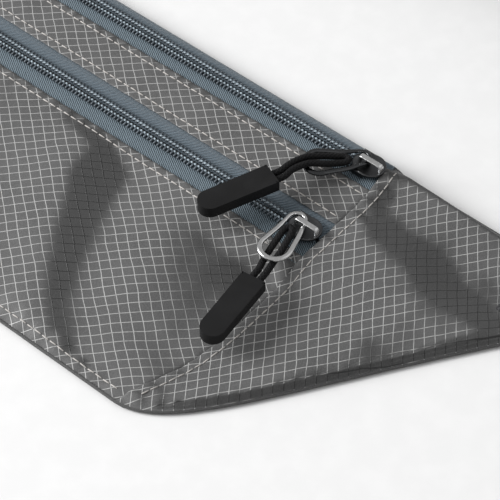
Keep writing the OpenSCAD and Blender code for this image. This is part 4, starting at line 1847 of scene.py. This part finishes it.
@dataclass
class Stitching:
    """All the visible rows of stitches on the pouch."""

    panel: FrontPanel
    strip: MidStrip
    wings: tuple[Wing, Wing]
    inset: float = 3.0
    raise_by: float = 0.06
    end_gap: float = 1.6

    def across(self, cloth: FrontPanel | MidStrip, y: float, reach: float, steps: int = 300) -> list[Vector]:
        """A seam's points on a panel at height y, from -reach to reach."""
        return [Vector((x, y, cloth.height(x, y) + self.raise_by)) for x in spread(-reach, reach, steps)]

    def build(self, palette: Palette) -> list[bpy.types.Object]:
        """Sews the rows.

        Args:
            palette: The finishes.

        Returns:
            The rows.
        """
        pattern, lift = self.panel.pattern, self.raise_by
        half, span = pattern.seam_x(0) - self.end_gap, pattern.wing_length
        low = -pattern.half_height + 3.4
        edge = pattern.seam_x(low) - self.end_gap
        rows = [
            ("stitches_front_edge", self.across(self.panel, pattern.front_edge - self.inset, half)),
            ("stitches_hem", self.across(self.panel, low, edge, 280)),
            ("stitches_mid_low", self.across(self.strip, pattern.mid_low + self.inset, half)),
            ("stitches_mid_high", self.across(self.strip, pattern.mid_high - self.inset, half)),
        ]
        for wing in self.wings:
            side = wing.side.name.lower()
            seam = [Vector(wing.at(3.9 / span, b, lift)) for b in spread(0.03, 0.965, 160)]
            end = [Vector(wing.at(1 - 2.4 / span, b, lift)) for b in spread(0.1, 0.9, 40)]
            rows += [(f"stitches_seam_{side}", seam), (f"stitches_strap_{side}", end)]
        return [stitch_run(name, path, palette.thread) for name, path in rows]


# ---- Strap and buckle ----


@dataclass(frozen=True)
class Stop:
    """One section of the webbing: its middle, its heading and its roll, in millimetres and degrees."""

    x: float
    y: float
    z: float
    heading: float
    roll: float

    def onwards(self, length: float, turn: float, steps: int) -> list["Stop"]:
        """The sections along a straight or an arc from here.

        Args:
            length: The way to go.
            turn: The angle turned to the left over that way.
            steps: The number of sections.

        Returns:
            The new sections.
        """
        made, base = [], math.radians(self.heading)
        for i in range(1, steps + 1):
            t = i / steps
            if turn:
                r, a = length / math.radians(turn), math.radians(turn * t)
                dx, dy = r * math.sin(a), r * (1 - math.cos(a))
            else:
                dx, dy = length * t, 0.0
            made.append(Stop(self.x + dx * math.cos(base) - dy * math.sin(base),
                             self.y + dx * math.sin(base) + dy * math.cos(base), self.z,
                             self.heading + turn * t, self.roll))
        return made


@dataclass
class Strap:
    """The webbing: two halves from the wings round to the buckle, the tail and the keeper."""

    width: float = 25.0
    thick: float = 1.4
    sewn_z: float = 1.65
    sewn: float = 16.0
    leave: float = 8.0
    turn_radius: float = 48.0
    back_radius: float = 180.0
    twist: float = 95.0
    buckle_z: float = 16.2
    wrap_radius: float = 2.45
    socket_bar: float = 27.0
    plug_bar: float = -11.5
    lead_end: float = -42.0
    tail: float = 70.0

    def loop(self) -> list[Stop]:
        """The right half from inside the wing to the start of the back run, turning onto its edge.

        Returns:
            The sections.
        """
        start = Stop(PATTERN.wing_end - self.sewn, 50.5, self.sewn_z, 0, 0)
        flat, round_, easy = 8, 72, 36
        first, second = math.radians(150) * self.turn_radius, math.radians(30) * self.back_radius
        stops = [start] + start.onwards(self.sewn + self.leave, 0, flat)
        stops += stops[-1].onwards(first, 150, round_)
        stops += stops[-1].onwards(second, 30, easy)
        made = []
        for i, stop in enumerate(stops):
            turned, eased = max(0, min(round_, i - flat)), max(0, i - flat - round_)
            travel = turned / round_ * first + eased / easy * second
            roll = 90 * smooth(travel / self.twist)
            lift = (self.buckle_z - self.width / 2) * smooth((travel - first) / second)
            angle = math.radians(roll)
            z = self.sewn_z * math.cos(angle) + self.width / 2 * math.sin(angle) + lift
            made.append(Stop(stop.x, stop.y, z, stop.heading, roll))
        return made

    def wrapped(self, start: Stop, end: float) -> list[Stop]:
        """Webbing round a buckle's bar and back along itself.

        Args:
            start: The section where it meets the bar.
            end: The length of the straight end.

        Returns:
            The sections after start.
        """
        legs = [(math.radians(188) * self.wrap_radius, -188, 20), (22.0, 0, 4), (math.radians(8) * 6, 8, 3),
                (end, 0, max(3, int(end / 4)))]
        stops = [start]
        for leg in legs:
            stops += stops[-1].onwards(*leg)
        return stops[1:]

    def webbing(self, name: str, stops: Sequence[Stop], mirrored: bool) -> bpy.types.Object:
        """Sweeps the webbing's section along its stops.

        Args:
            name: The piece's name.
            stops: The sections to pass through.
            mirrored: True for a piece on the other side of the belt.

        Returns:
            The webbing.
        """
        flip, shape = -1 if mirrored else 1, rounded(16, 0.75, 0.22)
        points, travel = [], [0.0]
        for i, stop in enumerate(stops):
            heading, roll = math.radians(stop.heading), math.radians(stop.roll)
            level = Vector((-math.sin(heading), math.cos(heading), 0))
            wide = level * math.cos(roll) + Vector((0, 0, math.sin(roll)))
            high = -level * math.sin(roll) + Vector((0, 0, math.cos(roll)))
            middle = Vector((stop.x, stop.y, stop.z))
            for w, h in shape:
                p = middle + wide * w * self.width / 2 + high * h * (self.thick / 2 - 0.03)
                points.append(Vector((flip * p.x, p.y, p.z)) * MM)
            if i:
                before = stops[i - 1]
                travel.append(travel[-1] + (middle - Vector((before.x, before.y, before.z))).length)
        piece = written(name, points, skin(len(stops), len(shape)))
        layer = piece.data.uv_layers.new(name="UVMap")
        for loop in piece.data.loops:
            i, k = divmod(loop.vertex_index, len(shape))
            layer.data[loop.index].uv = (travel[i] * MM, shape[k][0] * self.width / 2 * MM)
        return smoothed(face_outwards(piece), 50)

    def build(self, palette: Palette) -> list[bpy.types.Object]:
        """Makes the webbing and the keeper.

        Args:
            palette: The finishes.

        Returns:
            The pieces.
        """
        loop = self.loop()
        last, pouch = loop[-1], Body.POUCH.value
        right = loop + last.onwards(last.x - self.socket_bar, 0, 30)
        right += self.wrapped(right[-1], 12.0)
        left = loop + last.onwards(last.x + self.lead_end, 0, 24)
        woven = [palette.webbing]
        made = [
            finish(self.webbing("webbing_right", right, False), woven, pouch, "webbing", "strap_right"),
            finish(self.webbing("webbing_left", left, True), woven, pouch, "webbing", "strap_left"),
        ]
        turn = Stop(-self.plug_bar, last.y, self.buckle_z, 180, 90)
        tail = [turn] + self.wrapped(turn, self.tail)
        tail_end = self.webbing("webbing_tail", tail, True)
        made.append(finish(tail_end, woven, Body.PLUG.value, "webbing", "strap_tail"))
        start = Stop(-self.lead_end + 0.05, last.y, self.buckle_z, 180, 90)
        run = start.onwards(-self.lead_end + self.plug_bar - 0.1, 0, 24)
        lead = self.webbing("webbing_lead", [start, *run], True)
        lead.data.materials.append(palette.webbing)
        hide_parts("strap_lead")
        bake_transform(lead)
        made.append(lead)
        keeper = softened("webbing_keeper", "strap_keeper", 0.3)
        made.append(finish(keeper, [palette.elastic], Body.KEEPER.value, "elastic", "strap_keeper"))
        return made


@dataclass
class Buckle:
    """The side-release buckle: socket, plug and two sprung prongs."""

    edge: float = 0.55

    def build(self, palette: Palette) -> list[bpy.types.Object]:
        """Makes the buckle's mouldings.

        Args:
            palette: The finishes.

        Returns:
            The pieces.
        """
        plan = {"buckle_socket": Body.POUCH, "buckle_plug": Body.PLUG,
                "buckle_prong_upper": Body.PRONG_UPPER, "buckle_prong_lower": Body.PRONG_LOWER}
        return [
            finish(softened(f"moulded_{node}", node, self.edge), [palette.buckle], body.value,
                   "buckle_plastic", node)
            for node, body in plan.items()
        ]


# ---- The studio ----


@dataclass(frozen=True)
class Lamp:
    """One soft rectangular light that points at the belt."""

    name: str
    place: Point
    size: float
    watts: float

    def build(self, target: Vector) -> None:
        """Hangs the light in its place.

        Args:
            target: The point that it shines at, in metres.
        """
        clear_selection()
        bpy.ops.object.light_add(type="AREA", location=self.place)
        lamp = bpy.context.object
        lamp.name = self.name
        lamp.data.size = self.size
        lamp.data.energy = self.watts
        lamp.rotation_euler = (target - Vector(self.place)).to_track_quat("-Z", "Y").to_euler()


@dataclass(frozen=True)
class Studio:
    """A white paper floor, a pale surround, two soft lights and the camera."""

    eye: Point = (0.38212, -0.33699, 0.53622)
    gaze: Point = (-0.41422, 0.49335, -0.76487)
    lens: float = 154.74
    surround: float = 0.48
    target: Point = (0.09, 0.01, 0.005)
    lamps: tuple[Lamp, ...] = (
        Lamp("key_light", (-1.65, -1.05, 1.1), 1.15, 76.0),
        Lamp("fill_light", (0.7, 0.8, 1.2), 1.4, 2.5),
    )

    def camera(self) -> None:
        """Stands the camera."""
        clear_selection()
        bpy.ops.object.camera_add(location=self.eye)
        camera = bpy.context.object
        camera.name = "belt_camera"
        camera.data.sensor_width = 36.0
        camera.data.lens = self.lens
        camera.data.clip_start = 0.01
        camera.rotation_euler = Vector(self.gaze).to_track_quat("-Z", "Y").to_euler()
        bpy.context.scene.camera = camera

    def build(self, palette: Palette) -> None:
        """Lays the floor and lights it.

        Args:
            palette: The finishes.
        """
        clear_selection()
        bpy.ops.mesh.primitive_plane_add(size=8)
        floor = fresh("floor")
        floor.data.materials.append(palette.paper)
        for lamp in self.lamps:
            lamp.build(Vector(self.target))
        world = bpy.data.worlds.new("surround")
        world.use_nodes = True
        world.node_tree.nodes["Background"].inputs["Color"].default_value = (1, 1, 1, 1)
        world.node_tree.nodes["Background"].inputs["Strength"].default_value = self.surround
        bpy.context.scene.world = world
        bpy.context.scene.view_settings.view_transform = "Standard"


PULLERS = (
    Puller(Zip.FRONT, -79.0, -83.0, (29.7, 0.65, 11.1),
           ((4.4, 0, 0.75), (5.6, 1.3, 0.65), (9, 1.6, 0.3), (14, 1.75, -0.4), (19.4, 1.6, -0.9),
            (24, 2, 0.0))),
    Puller(Zip.MAIN, -127.0, -111.0, (31.5, 6.0, 14.6),
           ((4.2, 0, 0.4), (5.4, 1.3, 0.5), (9, 1.6, 1.1), (14, 1.7, 2.3), (18.5, 1.5, 3.25),
            (24, 3.4, 3.9))),
)


def main() -> None:
    """Builds the belt piece by piece, then the studio, and logs the pieces' face counts."""
    logging.basicConfig(level=logging.INFO, format="%(name)s: %(message)s")
    studio, palette = Studio(), Palette.mixed()
    studio.camera()
    for puller in PULLERS:
        puller.build(palette)
    panel, strip = FrontPanel(), MidStrip()
    wings = (Wing(Side.RIGHT), Wing(Side.LEFT))
    Back().build(palette)
    Divider().build(palette)
    for which in Zip:
        ZipChain(which).build(palette)
    panel.build(palette)
    strip.build(palette)
    for wing in wings:
        wing.build(palette)
    Stitching(panel, strip, wings).build(palette)
    Strap().build(palette)
    Buckle().build(palette)
    studio.build(palette)


if __name__ == "__main__":
    main()
